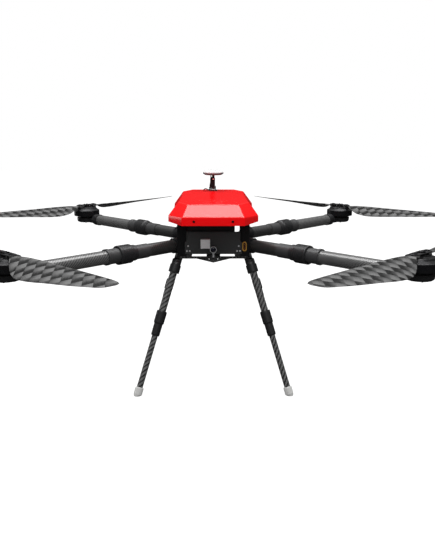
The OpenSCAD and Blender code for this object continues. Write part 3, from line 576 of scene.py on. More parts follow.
def piece_of(name, shape, material, edge=0.0, steps=2):
    """A piece from a finished shape: normals outwards, edges broken, smooth where it is round."""
    bmesh.ops.remove_doubles(shape, verts=shape.verts, dist=0.001 * MM)
    bmesh.ops.recalc_face_normals(shape, faces=shape.faces)
    mesh = bpy.data.meshes.new(name)
    shape.to_mesh(mesh)
    shape.free()
    mesh.shade_smooth()
    mesh.materials.append(material)
    piece = bpy.data.objects.new(name, mesh)
    scene.collection.objects.link(piece)
    if edge:
        bevel = piece.modifiers.new("broken_edges", "BEVEL")
        bevel.width = edge
        bevel.segments = steps
        bevel.limit_method = "ANGLE"
        bevel.angle_limit = math.radians(32)
    flat = piece.modifiers.new("flat_faces_stay_flat", "WEIGHTED_NORMAL")
    flat.keep_sharp = True
    return settle(piece)


insert_red = finish("dark_red_insert", (0.05, 0.004, 0.002), (0.09, 0.008, 0.004), 0.5, 700.0)
gilt = finish("gilt_contact", (0.65, 0.42, 0.12), (0.75, 0.50, 0.18), 0.3, 500.0, Metallic=1.0)
shape = bmesh.new()
oval(shape, port, 3.6 * MM, 10.6 * MM, port_high.y - 1.9 * MM, 0.8 * MM)
fitted(piece_of("socket_insert", shape, insert_red, 0.2 * MM), "frame", "amber_plastic")
shape = bmesh.new()
for way in (-1, 1):
    oval(shape, port + Vector((0, 0, way * 5 * MM)), 1.3 * MM, 1.31 * MM, port_high.y - 3.4 * MM, 1.9 * MM)
fitted(piece_of("socket_pins", shape, gilt, 0.25 * MM), "frame", "steel")


# ---- Nose camera -----------------------------------------------------------------------------------
# A small flight camera: a black barrel with a bright front ring and coated glass, on a machined lug
# that tilts about a pin between the two ears of its foot.
def turned(shape, outline, origin, axis, sides=72, ease=0.0):
    """Turns a closed outline of (radius, distance) points round an axis and maps arc by distance.

    ease rounds the outline's corners; an outline may start and end on the axis itself."""
    origin, axis = Vector(origin), Vector(axis).normalized()
    side = axis.orthogonal().normalized()
    if abs(axis.z) < 0.99:
        side = axis.cross(Vector((0, 0, 1))).normalized()
    other = axis.cross(side)
    points = []
    count = len(outline)
    for k, (radius, distance) in enumerate(outline):
        here = Vector((radius, distance))
        before, after = Vector(outline[k - 1]), Vector(outline[(k + 1) % count])
        reach = min(ease, (before - here).length * 0.45, (after - here).length * 0.45)
        if radius < 1e-7 or reach < 1e-7:
            points.append(here)
            continue
        into, out = (before - here).normalized(), (after - here).normalized()
        start, end = here + into * reach, here + out * reach
        middle = (start + end) * 0.25 + here * 0.5
        points += [start, middle, end]
    uv = shape.loops.layers.uv.verify()
    widest = max(point.x for point in points)
    rings = []
    for point in points:
        centre = origin + axis * point.y
        if point.x < 1e-7:
            rings.append([shape.verts.new(centre)] * sides)
            continue
        rings.append([
            shape.verts.new(centre + point.x * (
                math.cos(2 * math.pi * k / sides) * side + math.sin(2 * math.pi * k / sides) * other))
            for k in range(sides)])
    arc = 2 * math.pi * widest / sides
    runs = [0.0]
    for a, b in zip(points, points[1:] + points[:1]):
        runs.append(runs[-1] + (b - a).length)
    for j in range(len(points)):
        lower, upper = rings[j], rings[(j + 1) % len(points)]
        if points[j].x < 1e-7 and points[(j + 1) % len(points)].x < 1e-7:
            continue
        flat = abs(points[j].y - points[(j + 1) % len(points)].y) < 1e-6
        low_v = runs[j] if flat else points[j].y
        high_v = runs[j + 1] if flat else points[(j + 1) % len(points)].y
        for k in range(sides):
            m = (k + 1) % sides
            corners = [(lower[k], k, low_v), (lower[m], k + 1, low_v), (upper[m], k + 1, high_v),
                       (upper[k], k, high_v)]
            if lower[k] is lower[m]:
                corners.pop(1)
            elif upper[k] is upper[m]:
                corners.pop(2)
            face = shape.faces.new([corner[0] for corner in corners])
            for loop, corner in zip(face.loops, corners):
                loop[uv].uv = (corner[1] * arc, corner[2])


dressed("camera_foot", "camera_bracket", tray_plastic, "frame", "black_plastic", 0.4 * MM)
camera_low, camera_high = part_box("camera")
CAMERA_R = 9 * MM
lens_axis = Vector((0, camera_low.y, camera_high.z - CAMERA_R))
barrel_length = camera_high.y - camera_low.y
satin_alloy = finish("satin_alloy", (0.34, 0.34, 0.35), (0.46, 0.46, 0.47), 0.34, 240.0,
                     bump=0.06, stretch=(1, 1, 6), Metallic=0.3)
shape = bmesh.new()
turned(shape, [(0, 3 * MM), (6.6 * MM, 3 * MM), (7.4 * MM, 0.3 * MM), (CAMERA_R - 0.9 * MM, 0.3 * MM),
               (CAMERA_R - 0.5 * MM, 1.2 * MM), (CAMERA_R - 0.5 * MM, 5 * MM), (CAMERA_R, 5.6 * MM),
               (CAMERA_R, barrel_length - 1 * MM), (CAMERA_R - 1 * MM, barrel_length), (0, barrel_length)],
       lens_axis, (0, 1, 0), 64, 0.25 * MM)
fitted(piece_of("camera_barrel", shape, anodised), "camera", "black_plastic", "camera")
shape = bmesh.new()
turned(shape, [(7.5 * MM, 0), (CAMERA_R - 0.2 * MM, 0), (CAMERA_R - 0.2 * MM, 1.1 * MM),
               (7.5 * MM, 1.1 * MM)],
       lens_axis, (0, 1, 0), 64, 0.2 * MM)
fitted(piece_of("camera_front_ring", shape, satin_alloy), "camera", "steel")
lens_glass = finish("coated_lens_glass", (0.004, 0.005, 0.010), (0.010, 0.008, 0.020), 0.06, 160.0,
                    spread=0.03, Coat_Weight=1.0, Coat_Roughness=0.03)
shape = bmesh.new()
turned(shape, [(0, 1.3 * MM), (2 * MM, 1.45 * MM), (4 * MM, 1.9 * MM), (6 * MM, 2.9 * MM), (6 * MM, 3.1 * MM),
               (0, 3.1 * MM)], lens_axis, (0, 1, 0), 48)
fitted(piece_of("camera_lens", shape, lens_glass), "camera", "black_plastic")
ear_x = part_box("camera_foot")[1].x * 0.62
pivot_z = camera_low.z + 4 * MM
shape = bmesh.new()
lug = [(-2.5, 0), (-2.5, 6.5), (-4.5, 11), (4.5, 11), (2.5, 6.5), (2.5, 0), (2.3, -3), (-2.3, -3)]
for sy in (-1, 1):
    shape.faces.new([
        shape.verts.new((x * MM, lens_axis.y + barrel_length / 2 + sy * 3 * MM, pivot_z + z * MM))
        for x, z in lug])
near, far = list(shape.faces)
for k in range(len(lug)):
    m = (k + 1) % len(lug)
    shape.faces.new((near.verts[k], near.verts[m], far.verts[m], far.verts[k]))
fitted(piece_of("camera_lug", shape, satin_alloy, 0.4 * MM), "camera", "steel")
pin_places = [
    (Vector((side * ear_x, lens_axis.y + barrel_length / 2, pivot_z)), (side, 0, 0))
    for side in (-1, 1)]
screws("camera_pivot_screws", pin_places, 2.4 * MM, 1.4 * MM, bolt_black, "frame", "bolt_black")


# ---- Landing gear ----------------------------------------------------------------------------------
# Four splayed legs of rolled carbon tube. Each is clamped under a corner of the lower deck, stepped
# down at a turned coupler and shod with a light grey rubber foot cut level with the ground.
leg_carbon = woven("leg_rolled_carbon", 3.3 * MM, 86, 0.004, 0.15, over=2, from_uv=True, roughness=0.34,
                   relief=0.5, streak=0.4, fold=0.3, coat=0.2)
foot_rubber = finish("light_grey_rubber", (0.46, 0.46, 0.45), (0.54, 0.54, 0.53), 0.72, 650.0,
                     bump=0.35, depth=0.08 * MM)
coupler_black = finish("coupler_anodised", (0.011, 0.011, 0.012), (0.019, 0.019, 0.020), 0.40, 500.0,
                       bump=0.15, depth=0.04 * MM, Metallic=0.2)
LEG_D, SHIN_D, LEG_WALL = 20 * MM, 16 * MM, 1.5 * MM
COUPLER_AT, COUPLER_L, FOOT_L = 150 * MM, 69 * MM, 22 * MM
foot_centre = Vector(frame["record"]["mounts"][-1]["pos_m"])
hip = Vector((98 * MM, 130 * MM, deck_low.z))


def legs(outline, name, material, body_slot, node, sides=64, ease=0.6 * MM, level=None):
    """The same turned part on all four legs; the outline runs (radius, distance from the deck)."""
    shape = bmesh.new()
    for sx, sy in CORNERS:
        top = Vector((sx * hip.x, sy * hip.y, hip.z))
        bottom = Vector((sx * foot_centre.x, sy * foot_centre.y, 0))
        turned(shape, outline, top, bottom - top, sides, ease)
    if level is not None:
        point, keep = level
        cut = bmesh.ops.bisect_plane(
            shape, geom=shape.verts[:] + shape.edges[:] + shape.faces[:], plane_co=point,
            plane_no=(0, 0, keep), clear_outer=True)
        rim = [edge for edge in cut["geom_cut"] if isinstance(edge, bmesh.types.BMEdge)]
        bmesh.ops.edgenet_fill(shape, edges=rim)
    fitted(piece_of(name, shape, material), "frame", body_slot, node)


leg_length = (hip - foot_centre).length
CLAMP_L, CLAMP_COLLAR_L = 18 * MM, 22 * MM
r = LEG_D / 2
legs([(r, -12 * MM), (r + 3 * MM, -12 * MM), (r + 3 * MM, CLAMP_L), (r + 5 * MM, CLAMP_L + 0.6 * MM),
      (r + 5 * MM, CLAMP_L + CLAMP_COLLAR_L), (r, CLAMP_L + CLAMP_COLLAR_L)],
     "leg_sockets", coupler_black, "black_anodised", "leg_clamps", level=((0, 0, deck_low.z), 1))
legs([(r - LEG_WALL, 12 * MM), (r, 12 * MM), (r, COUPLER_AT + 20 * MM), (r - LEG_WALL, COUPLER_AT + 20 * MM)],
     "upper_leg_tubes", leg_carbon, "carbon_tube", "leg_upper_tubes", ease=0.2 * MM)
step = COUPLER_AT + COUPLER_L * 0.52
s = SHIN_D / 2
coupler_end, shin_start, foot_start = COUPLER_AT + COUPLER_L, COUPLER_AT + 24 * MM, leg_length - FOOT_L
legs([(r, COUPLER_AT), (r + 3.4 * MM, COUPLER_AT), (r + 4 * MM, COUPLER_AT + 2 * MM),
      (r + 4 * MM, step - 3 * MM), (r + 1.8 * MM, step), (r + 1.5 * MM, coupler_end - 3 * MM),
      (r, coupler_end), (s, coupler_end), (s, shin_start), (r, shin_start)],
     "leg_step_couplers", coupler_black, "black_anodised", "leg_couplers")
legs([(s - LEG_WALL, shin_start), (s, shin_start), (s, foot_start + 12 * MM),
      (s - LEG_WALL, foot_start + 12 * MM)],
     "lower_leg_tubes", leg_carbon, "carbon_tube", "leg_lower_tubes", ease=0.2 * MM)
legs([(0, foot_start + 12 * MM), (s, foot_start + 12 * MM), (s, foot_start), (s + 2.6 * MM, foot_start),
      (s + 3.4 * MM, foot_start + 2.5 * MM), (s + 3 * MM, leg_length - 3 * MM),
      (s + 1 * MM, leg_length + 3 * MM), (s + 1 * MM, leg_length + 12 * MM), (0, leg_length + 12 * MM)],
     "rubber_feet", foot_rubber, "foot_rubber", "leg_feet", ease=1.2 * MM, level=((0, 0, 0), -1))


# ---- Arm roots -------------------------------------------------------------------------------------
# A short carbon tube from each corner clamp, with an anodised sleeve glued on its end. The sleeve is
# bored for the spigot of the removable arm and threaded outside for the lock collar.
arm_carbon = woven("arm_twill_carbon", 1.9 * MM, 0, 0.016, 0.13, over=2, from_uv=True, roughness=0.28,
                   relief=0.45, streak=0.4, fold=0.3, coat=0.7)
# The arm roots wear the arm twill darkened to about a third: painted shade for where they sit under the hood
# between the dark posts.
root_carbon_painted_shade = woven("root_twill_carbon_painted_shade", 1.9 * MM, 0, 0.003, 0.045, over=2, from_uv=True, roughness=0.30,
                    relief=0.45, streak=0.4, fold=0.3, coat=0.5)
sleeve_black = finish("sleeve_anodised", (0.028, 0.028, 0.029), (0.046, 0.046, 0.048), 0.44, 600.0,
                      bump=0.3, depth=0.05 * MM, Metallic=0.15)
SPIN = {"fl": 1, "fr": -1, "rl": -1, "rr": 1}
ARM_R, TUBE_WALL = 17.5 * MM, 2 * MM
ROOT_START, ROOT_END, SLEEVE_START, ROOT_FACE, CLAMP_AT = 0.128, 0.262, 0.250, 0.3195, 0.151
collar_low, collar_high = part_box("lock_collar_fl")
arm_z = (collar_low.z + collar_high.z) / 2


def arm_line(arm):
    """The arm's outward direction and the distance of its motor from the centre."""
    low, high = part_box("motor_bell_" + arm)
    motor = (low + high) / 2
    flat = Vector((motor.x, motor.y, 0))
    return flat.normalized(), flat.length


def motor_place(arm):
    """A matrix whose origin is the motor axis on the ground and whose X points outwards."""
    outward, reach = arm_line(arm)
    return Matrix(((outward.x, -outward.y, 0, outward.x * reach),
                   (outward.y, outward.x, 0, outward.y * reach), (0, 0, 1, 0), (0, 0, 0, 1)))


roots, root_ends = bmesh.new(), bmesh.new()
for arm in SPIN:
    outward, _ = arm_line(arm)
    turned(roots, [(ARM_R - TUBE_WALL, ROOT_START), (ARM_R, ROOT_START), (ARM_R, ROOT_END),
                   (ARM_R - TUBE_WALL, ROOT_END)], (0, 0, arm_z), outward, 80, 0.2 * MM)
    turned(root_ends, [(ARM_R, SLEEVE_START), (ARM_R + 1.5 * MM, SLEEVE_START), (ARM_R + 1.5 * MM, ROOT_FACE),
                       (14.4 * MM, ROOT_FACE), (14.4 * MM, ROOT_END), (ARM_R, ROOT_END)],
           (0, 0, arm_z), outward, 80, 0.5 * MM)
fitted(piece_of("arm_root_tubes", roots, root_carbon_painted_shade), "frame", "carbon_tube", "arm_roots")
fitted(piece_of("arm_root_sleeves", root_ends, sleeve_black), "frame", "black_anodised", "root_sleeves")
clamp_places = []
for arm in SPIN:
    outward, _ = arm_line(arm)
    across = outward.cross(Vector((0, 0, 1)))
    for way in (-1, 1):
        lean = Vector((0, 0, 1)) * 0.8 + across * 0.6 * way
        clamp_places.append((outward * CLAMP_AT + Vector((0, 0, arm_z)) + lean * 20.8 * MM, lean))
screws("root_clamp_bolts", clamp_places, 2.8 * MM, 2.2 * MM, bolt_black, "frame", "bolt_black")


# ---- Removable arms --------------------------------------------------------------------------------
# Each arm is a 35 mm twill carbon tube with a plug at its inner end. The plug's spigot goes into the
# root sleeve, and a ribbed collar that turns on both sleeves draws the two faces together.
ring_tree, RING_INPUTS, given = node_group(
    "ring_of_bars", ("Count", "Int"), ("Radius", "Float"), ("Size", "Vector"), ("Height", "Float"))
circle = add(ring_tree, "GeometryNodeMeshCircle", {"Vertices": given["Count"], "Radius": given["Radius"]})
bar = add(ring_tree, "GeometryNodeMeshCube", {"Size": given["Size"]})
outward_way = add(ring_tree, "GeometryNodeInputPosition")
turn = add(ring_tree, "FunctionNodeAlignEulerToVector", {"Vector": outward_way.outputs[0]}, axis="X")
placed = add(ring_tree, "GeometryNodeInstanceOnPoints", {
    "Points": circle.outputs[0], "Instance": bar.outputs[0], "Rotation": turn.outputs[0]})
lift = add(ring_tree, "ShaderNodeCombineXYZ", {2: given["Height"]})
lifted = add(ring_tree, "GeometryNodeTransform", {
    "Geometry": placed.outputs[0], "Translation": lift.outputs[0]})
closed_group(ring_tree, lifted.outputs[0], given)

collar_black = finish("collar_anodised", (0.014, 0.014, 0.015), (0.024, 0.024, 0.026), 0.38, 550.0,
                      bump=0.2, depth=0.04 * MM, Metallic=0.2)
COLLAR_R, COLLAR_BORE, COLLAR_SEAT = 25 * MM, 19.4 * MM, 20.1 * MM
COLLAR_START, RING_START, COLLAR_END, RIB_START, RIB_END = 0.293, 0.305, 0.348, 0.310, 0.3415
PLUG_R, SPIGOT_R, SPIGOT_BORE = 19.7 * MM, 14 * MM, 11 * MM
SPIGOT_START, PLUG_FACE, TUBE_START, PLUG_END = 0.2705, 0.3205, 0.355, 0.385
TUBE_END, CLAMP_START, CLAMP_END, CLAMP_BOLT_AT = 0.5895, 0.5685, 0.5865, 0.577
for arm in SPIN:
    outward, _ = arm_line(arm)
    base = Vector((0, 0, arm_z))
    along_arm = Matrix.Translation(base) @ outward.to_track_quat("Z", "X").to_matrix().to_4x4()

    shape = bmesh.new()
    turned(shape, [(ARM_R - TUBE_WALL, TUBE_START), (ARM_R, TUBE_START), (ARM_R, TUBE_END),
                   (ARM_R - TUBE_WALL, TUBE_END)], base, outward, 80, 0.2 * MM)
    fitted(piece_of("carbon_arm_" + arm, shape, arm_carbon), "arm_" + arm, "carbon_tube", "arm_tube_" + arm)

    shape = bmesh.new()
    turned(shape, [(SPIGOT_BORE, SPIGOT_START), (SPIGOT_R, SPIGOT_START), (SPIGOT_R, PLUG_FACE),
                   (PLUG_R, PLUG_FACE), (PLUG_R, PLUG_END - 9 * MM), (PLUG_R + 1.2 * MM, PLUG_END - 8.2 * MM),
                   (PLUG_R + 1.2 * MM, PLUG_END), (ARM_R, PLUG_END), (ARM_R, TUBE_START),
                   (SPIGOT_BORE, TUBE_START)],
           base, outward, 80, 0.5 * MM)
    fitted(piece_of("arm_plug_sleeve_" + arm, shape, sleeve_black),
           "arm_" + arm, "black_anodised", "arm_plug_" + arm)

    shape = bmesh.new()
    turned(shape, [(COLLAR_BORE, COLLAR_START), (COLLAR_R - 4.2 * MM, COLLAR_START),
                   (COLLAR_R - 4 * MM, COLLAR_START + 1 * MM),
                   (COLLAR_R - 3.8 * MM, RING_START), (COLLAR_R - 1.6 * MM, RING_START + 3 * MM),
                   (COLLAR_R - 0.5 * MM, RING_START + 4 * MM), (COLLAR_R - 0.5 * MM, 0.343),
                   (COLLAR_R, 0.3435), (COLLAR_R, 0.3465),
                   (COLLAR_R - 1.6 * MM, COLLAR_END), (22.4 * MM, COLLAR_END),
                   (22.1 * MM, 0.344), (COLLAR_SEAT, 0.344), (COLLAR_SEAT, 0.320), (COLLAR_BORE, 0.320)],
           base, outward, 96, 0.5 * MM)
    fitted(piece_of("lock_ring_" + arm, shape, collar_black),
           "collar_" + arm, "black_anodised", "lock_collar_" + arm)
    ribs = grown("lock_ring_ribs_" + arm, ring_tree, RING_INPUTS, {
        "Count": 44, "Radius": COLLAR_R - 0.7 * MM, "Size": (1.2 * MM, 1.7 * MM, RIB_END - RIB_START),
        "Height": (RIB_START + RIB_END) / 2, "Finish": collar_black}, along_arm)
    fitted(ribs, "collar_" + arm, "black_anodised")


# ---- Motor mounts ----------------------------------------------------------------------------------
# A machined bowl carries each motor. A domed clamp at the end of a short neck holds it on the arm tube,
# two screws close the clamp, and a smoked status lamp is let into the underside.
cast_black = finish("mount_anodised", (0.010, 0.010, 0.011), (0.018, 0.018, 0.020), 0.36, 380.0,
                    bump=0.15, depth=0.05 * MM, Metallic=0.25)
smoked = finish("smoked_lamp_lens", (0.02, 0.006, 0.006), (0.035, 0.01, 0.01), 0.15, 400.0,
                Coat_Weight=0.6)
laminate = finish("stator_steel", (0.03, 0.03, 0.034), (0.05, 0.05, 0.056), 0.4, 900.0,
                  bump=0.4, stretch=(0.1, 0.1, 6), Metallic=0.7)
copper = finish("enamelled_copper", (0.16, 0.055, 0.02), (0.28, 0.10, 0.035), 0.32, 1600.0,
                bump=0.5, depth=0.1 * MM, stretch=(1, 1, 5), Metallic=0.6, Coat_Weight=0.4)
BELL_H, BELL_GAP, BOWL_H, MOUNT_R, CLAMP_R = 30 * MM, 6 * MM, 17 * MM, 35 * MM, 19.5 * MM
STATOR_R, CORE_R, STAND_R, SHAFT_R = 40.4 * MM, 24 * MM, 28 * MM, 5.2 * MM
bell_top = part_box("motor_bell_fl")[1].z
bell_z = bell_top - BELL_H
seat_z = bell_z - BELL_GAP
mount_z = seat_z - BOWL_H


def box_between(shape, place, low, high):
    """A plain block between two corners, placed by a matrix, for a part whose edges are broken later."""
    corners = [shape.verts.new(place @ Vector((x, y, z)))
               for x in (low[0], high[0]) for y in (low[1], high[1]) for z in (low[2], high[2])]
    for face in ((0, 1, 3, 2), (4, 6, 7, 5), (0, 4, 5, 1), (2, 3, 7, 6), (0, 2, 6, 4), (1, 5, 7, 3)):
        shape.faces.new([corners[k] for k in face])


for arm in SPIN:
    outward, reach = arm_line(arm)
    motor = outward * reach
    base = Vector((0, 0, arm_z))
    body = "arm_" + arm
    shape = bmesh.new()
    turned(shape, [(0, mount_z), (MOUNT_R - 9 * MM, mount_z), (MOUNT_R - 5 * MM, mount_z + 0.8 * MM),
                   (MOUNT_R - 2 * MM, mount_z + 3 * MM), (MOUNT_R - 0.4 * MM, mount_z + 6.5 * MM),
                   (MOUNT_R, mount_z + 10 * MM), (MOUNT_R, seat_z - 1.2 * MM), (MOUNT_R - 1.2 * MM, seat_z),
                   (0, seat_z)],
           motor, (0, 0, 1), 96, 0.5 * MM)
    dome = [(CLAMP_R * math.cos(math.radians(a)), CLAMP_END + CLAMP_R * math.sin(math.radians(a)))
            for a in range(0, 90, 10)]
    turned(shape, [(ARM_R, CLAMP_START), (CLAMP_R, CLAMP_START), *dome, (0, CLAMP_END + CLAMP_R),
                   (0, TUBE_END), (ARM_R, TUBE_END)], base, outward, 72, 0.4 * MM)
    fitted(piece_of("motor_seat_" + arm, shape, cast_black), body, "black_anodised", "motor_mount_" + arm)

    place = motor_place(arm)
    shape = bmesh.new()
    box_between(shape, place, (CLAMP_END - reach, -15 * MM, mount_z + 1 * MM),
                (-20 * MM, 15 * MM, seat_z - 1 * MM))
    fitted(piece_of("motor_neck_" + arm, shape, cast_black, 2.5 * MM, 3), body, "black_anodised")
    shape = bmesh.new()
    turned(shape, [(0, mount_z - 3 * MM), (1.4 * MM, mount_z - 2.8 * MM), (2.6 * MM, mount_z - 1.8 * MM),
                   (3 * MM, mount_z - 0.4 * MM), (3 * MM, mount_z + 1 * MM), (0, mount_z + 1 * MM)],
           motor + outward * 12 * MM, (0, 0, 1), 32)
    fitted(piece_of("status_lamp_" + arm, shape, smoked), body, "black_plastic")
    across = outward.cross(Vector((0, 0, 1)))
    clamp_bolts = []
    for way in (-1, 1):
        lean = (Vector((0, 0, -0.75)) + across * 0.66 * way).normalized()
        clamp_bolts.append((outward * CLAMP_BOLT_AT + base + lean * (CLAMP_R - 0.2 * MM), lean))
    for angle in range(30, 360, 60):
        side = Vector((math.cos(math.radians(angle)), math.sin(math.radians(angle)), 0))
        clamp_bolts.append((motor + side * 22 * MM + Vector((0, 0, mount_z)), (0, 0, -1)))
    screws("mount_bolts_" + arm, clamp_bolts, 2.3 * MM, 1.4 * MM, bolt_black, body, "bolt_black")

    shape = bmesh.new()
    turned(shape, [(SHAFT_R, seat_z), (STAND_R, seat_z), (STAND_R, bell_z + 2.4 * MM),
                   (STATOR_R, bell_z + 2.6 * MM), (STATOR_R, bell_z + 11 * MM), (CORE_R, bell_z + 11.4 * MM),
                   (CORE_R, bell_z + 23 * MM), (SHAFT_R, bell_z + 23 * MM)], motor, (0, 0, 1), 96, 0.2 * MM)
    fitted(piece_of("stator_core_" + arm, shape, laminate), body, "steel")
    coils = grown("stator_coils_" + arm, ring_tree, RING_INPUTS, {
        "Count": 24, "Radius": 33.5 * MM, "Size": (10.5 * MM, 5.2 * MM, 12.4 * MM),
        "Height": bell_z + 6.9 * MM, "Finish": copper}, Matrix.Translation(motor))
    fitted(coils, body, "steel")


# ---- Motor bells -----------------------------------------------------------------------------------
# The turning outer can of a flat brushless motor, 90 mm across: a finely ribbed ring over the magnets
# and a sloping alloy cap turned in one with it, black anodised.
can_black = finish("motor_can_black", (0.007, 0.007, 0.008), (0.014, 0.014, 0.016), 0.33, 500.0,
                   bump=0.1, depth=0.03 * MM, Metallic=0.45)
BELL_R, CAP_R, SHOULDER = 45 * MM, 33 * MM, 18.5 * MM
for arm in SPIN:
    outward, reach = arm_line(arm)
    motor = outward * reach
    body = "rotor_" + arm
    shape = bmesh.new()
    turned(shape, [(41.5 * MM, bell_z), (BELL_R - 0.5 * MM, bell_z), (BELL_R - 0.3 * MM, bell_z + 0.8 * MM),
                   (BELL_R - 0.3 * MM, bell_z + SHOULDER - 1.8 * MM), (BELL_R, bell_z + SHOULDER - 1.4 * MM),
                   (BELL_R, bell_z + SHOULDER + 0.6 * MM), (BELL_R - 1.2 * MM, bell_z + SHOULDER + 1.6 * MM),
                   (BELL_R - 2.6 * MM, bell_z + SHOULDER + 1.8 * MM), (CAP_R + 3.0 * MM, bell_top - 5 * MM),
                   (CAP_R + 1.2 * MM, bell_top - 1.6 * MM), (CAP_R, bell_top), (CAP_R - 8 * MM, bell_top),
                   (CAP_R - 9 * MM, bell_top - 0.7 * MM), (CAP_R - 14 * MM, bell_top - 0.7 * MM),
                   (CAP_R - 15 * MM, bell_top), (0, bell_top), (0, bell_top - 4 * MM),
                   (CAP_R - 3 * MM, bell_top - 4 * MM), (41.5 * MM, bell_z + SHOULDER)],
           motor, (0, 0, 1), 120, 0.4 * MM)
    turned(shape, [(0, bell_z - 10 * MM), (5 * MM, bell_z - 10 * MM), (5 * MM, bell_top - 3 * MM),
                   (0, bell_top - 3 * MM)], motor, (0, 0, 1), 40, 0.3 * MM)
    fitted(piece_of("motor_can_" + arm, shape, can_black), body, "black_anodised", "motor_bell_" + arm)
    ribs = grown("motor_can_ribs_" + arm, ring_tree, RING_INPUTS, {
        "Count": 90, "Radius": BELL_R - 0.35 * MM, "Size": (0.7 * MM, 1.3 * MM, 14.6 * MM),
        "Height": bell_z + 8.8 * MM, "Finish": can_black}, Matrix.Translation(motor))
    fitted(ribs, body, "black_anodised")


# ---- Propeller hubs --------------------------------------------------------------------------------
# Two black plates hold the blade roots between them. A shouldered bolt is each blade's fold pivot, and
# four cap screws draw the plates onto the motor's centre boss.
hub_black = finish("hub_plate_black", (0.014, 0.014, 0.015), (0.024, 0.024, 0.026), 0.34, 450.0,
                   bump=0.1, depth=0.03 * MM, Metallic=0.3)
FOLD_R, HUB_R, PLATE_T = 28 * MM, 12 * MM, 2 * MM
blade_mid = bell_top + PLATE_T + 2.5 * MM
hub_top = bell_top + 9 * MM


def strap(shape, place, low, high, arc=16):
    """A plate with round ends over both fold bolts."""
    rim = []
    for way in (1, -1):
        for k in range(arc + 1):
            angle = math.pi * k / arc + (0 if way == 1 else math.pi)
            rim.append((HUB_R * math.cos(angle), HUB_R * math.sin(angle) + way * FOLD_R))
    under = [shape.verts.new(place @ Vector((x, y, low))) for x, y in rim]
    over = [shape.verts.new(place @ Vector((x, y, high))) for x, y in rim]
    shape.faces.new(under[::-1])
    shape.faces.new(over)
    for k in range(len(rim)):
        m = (k + 1) % len(rim)
        shape.faces.new((under[k], under[m], over[m], over[k]))


for arm in SPIN:
    place = motor_place(arm)
    body = "rotor_" + arm
    shape = bmesh.new()
    strap(shape, place, bell_top, bell_top + PLATE_T)
    strap(shape, place, hub_top - PLATE_T, hub_top)
    fitted(piece_of("hub_plates_" + arm, shape, hub_black, 0.45 * MM),
           body, "black_anodised", "prop_hub_" + arm)
    shape = bmesh.new()
    turned(shape, [(0, bell_top), (HUB_R - 0.6 * MM, bell_top), (HUB_R - 0.6 * MM, hub_top), (0, hub_top)],
           place.translation, (0, 0, 1), 56, 0.3 * MM)
    turned(shape, [(0, hub_top - 0.5 * MM), (4.2 * MM, hub_top - 0.5 * MM), (4.2 * MM, hub_top + 1.2 * MM),
                   (3.2 * MM, hub_top + 2 * MM), (0, hub_top + 2 * MM)],
           place.translation, (0, 0, 1), 40, 0.2 * MM)
    for way in (-1, 1):
        turned(shape, [(0, bell_top - 0.2 * MM), (3.9 * MM, bell_top - 0.2 * MM), (3.9 * MM, hub_top),
                       (0, hub_top)], place @ Vector((0, way * FOLD_R, 0)), (0, 0, 1), 32)
    fitted(piece_of("hub_boss_" + arm, shape, can_black), body, "black_anodised")
    fold_bolts = [(place @ Vector((0, way * FOLD_R, hub_top)), (0, 0, 1)) for way in (-1, 1)]
    screws("fold_bolts_" + arm, fold_bolts, 6 * MM, 2.0 * MM, bolt_black, body, "bolt_black")
    boss_screws = [
        (place @ Vector((7.8 * MM * math.cos(a), 7.8 * MM * math.sin(a), hub_top)), (0, 0, 1))
        for a in (math.pi / 4 + k * math.pi / 2 for k in range(4))]
    screws("boss_screws_" + arm, boss_screws, 2.6 * MM, 2.2 * MM, bolt_black, body, "bolt_black")


# ---- Propeller blades ------------------------------------------------------------------------------
# Moulded carbon blades, broad at the heel and fine at the tip, laid up in a wide spread-tow cloth that shows
# as a chequer under clear resin, whose light and dark squares and their sheen are painted reflection in the
# colour. Each turns on its own fold bolt.
blade_carbon = woven("blade_spread_tow_carbon", 22 * MM, 40, 0.002, 0.115, over=1, from_uv=True,
                     roughness=0.40, relief=0.08, streak=0.9, fold=0.75, coat=0.0, Specular_IOR_Level=0.22)
TIP_R, SECTION_POINTS, SPANS = 413 * MM, 28, 64
# Share of the way to the tip, leading edge, trailing edge, rise, drop and thickness, in millimetres
STATIONS = [
    (0.01, 9, 9, 0, 0, 4.2), (0.04, 10.5, 12, 0, 0, 4.2), (0.07, 12, 20, 1, 4, 5.4),
    (0.11, 14, 28.5, 2, 10, 6.6), (0.16, 15, 38, 2.5, 16, 7), (0.22, 16, 47.5, 3, 19, 7),
    (0.32, 17, 58.5, 3, 20, 6.6), (0.45, 17, 60, 3, 17, 6), (0.6, 17, 52, 3.5, 12, 5),
    (0.75, 16, 42, 4, 8, 4), (0.88, 14, 31, 4.5, 4, 3), (0.96, 10, 22, 5, 1, 2.4), (1, 3, 5, 5, -3, 1.6),
]


def station_at(share):
    """A smooth section between the stations, by a cubic through the four nearest."""
    last = len(STATIONS) - 1
    k = max(j for j in range(last) if STATIONS[j][0] <= share or j == 0)
    a, b, c, d = (STATIONS[min(max(k + j, 0), last)] for j in (-1, 0, 1, 2))
    t = (share - b[0]) / (c[0] - b[0])
    section = []
    for j in range(1, 6):
        m0 = (c[j] - a[j]) / (c[0] - a[0]) * (c[0] - b[0])
        m1 = (d[j] - b[j]) / (d[0] - b[0]) * (c[0] - b[0])
        section.append((2 * t ** 3 - 3 * t ** 2 + 1) * b[j] + (t ** 3 - 2 * t ** 2 + t) * m0
                       + (3 * t ** 2 - 2 * t ** 3) * c[j] + (t ** 3 - t ** 2) * m1)
    return section


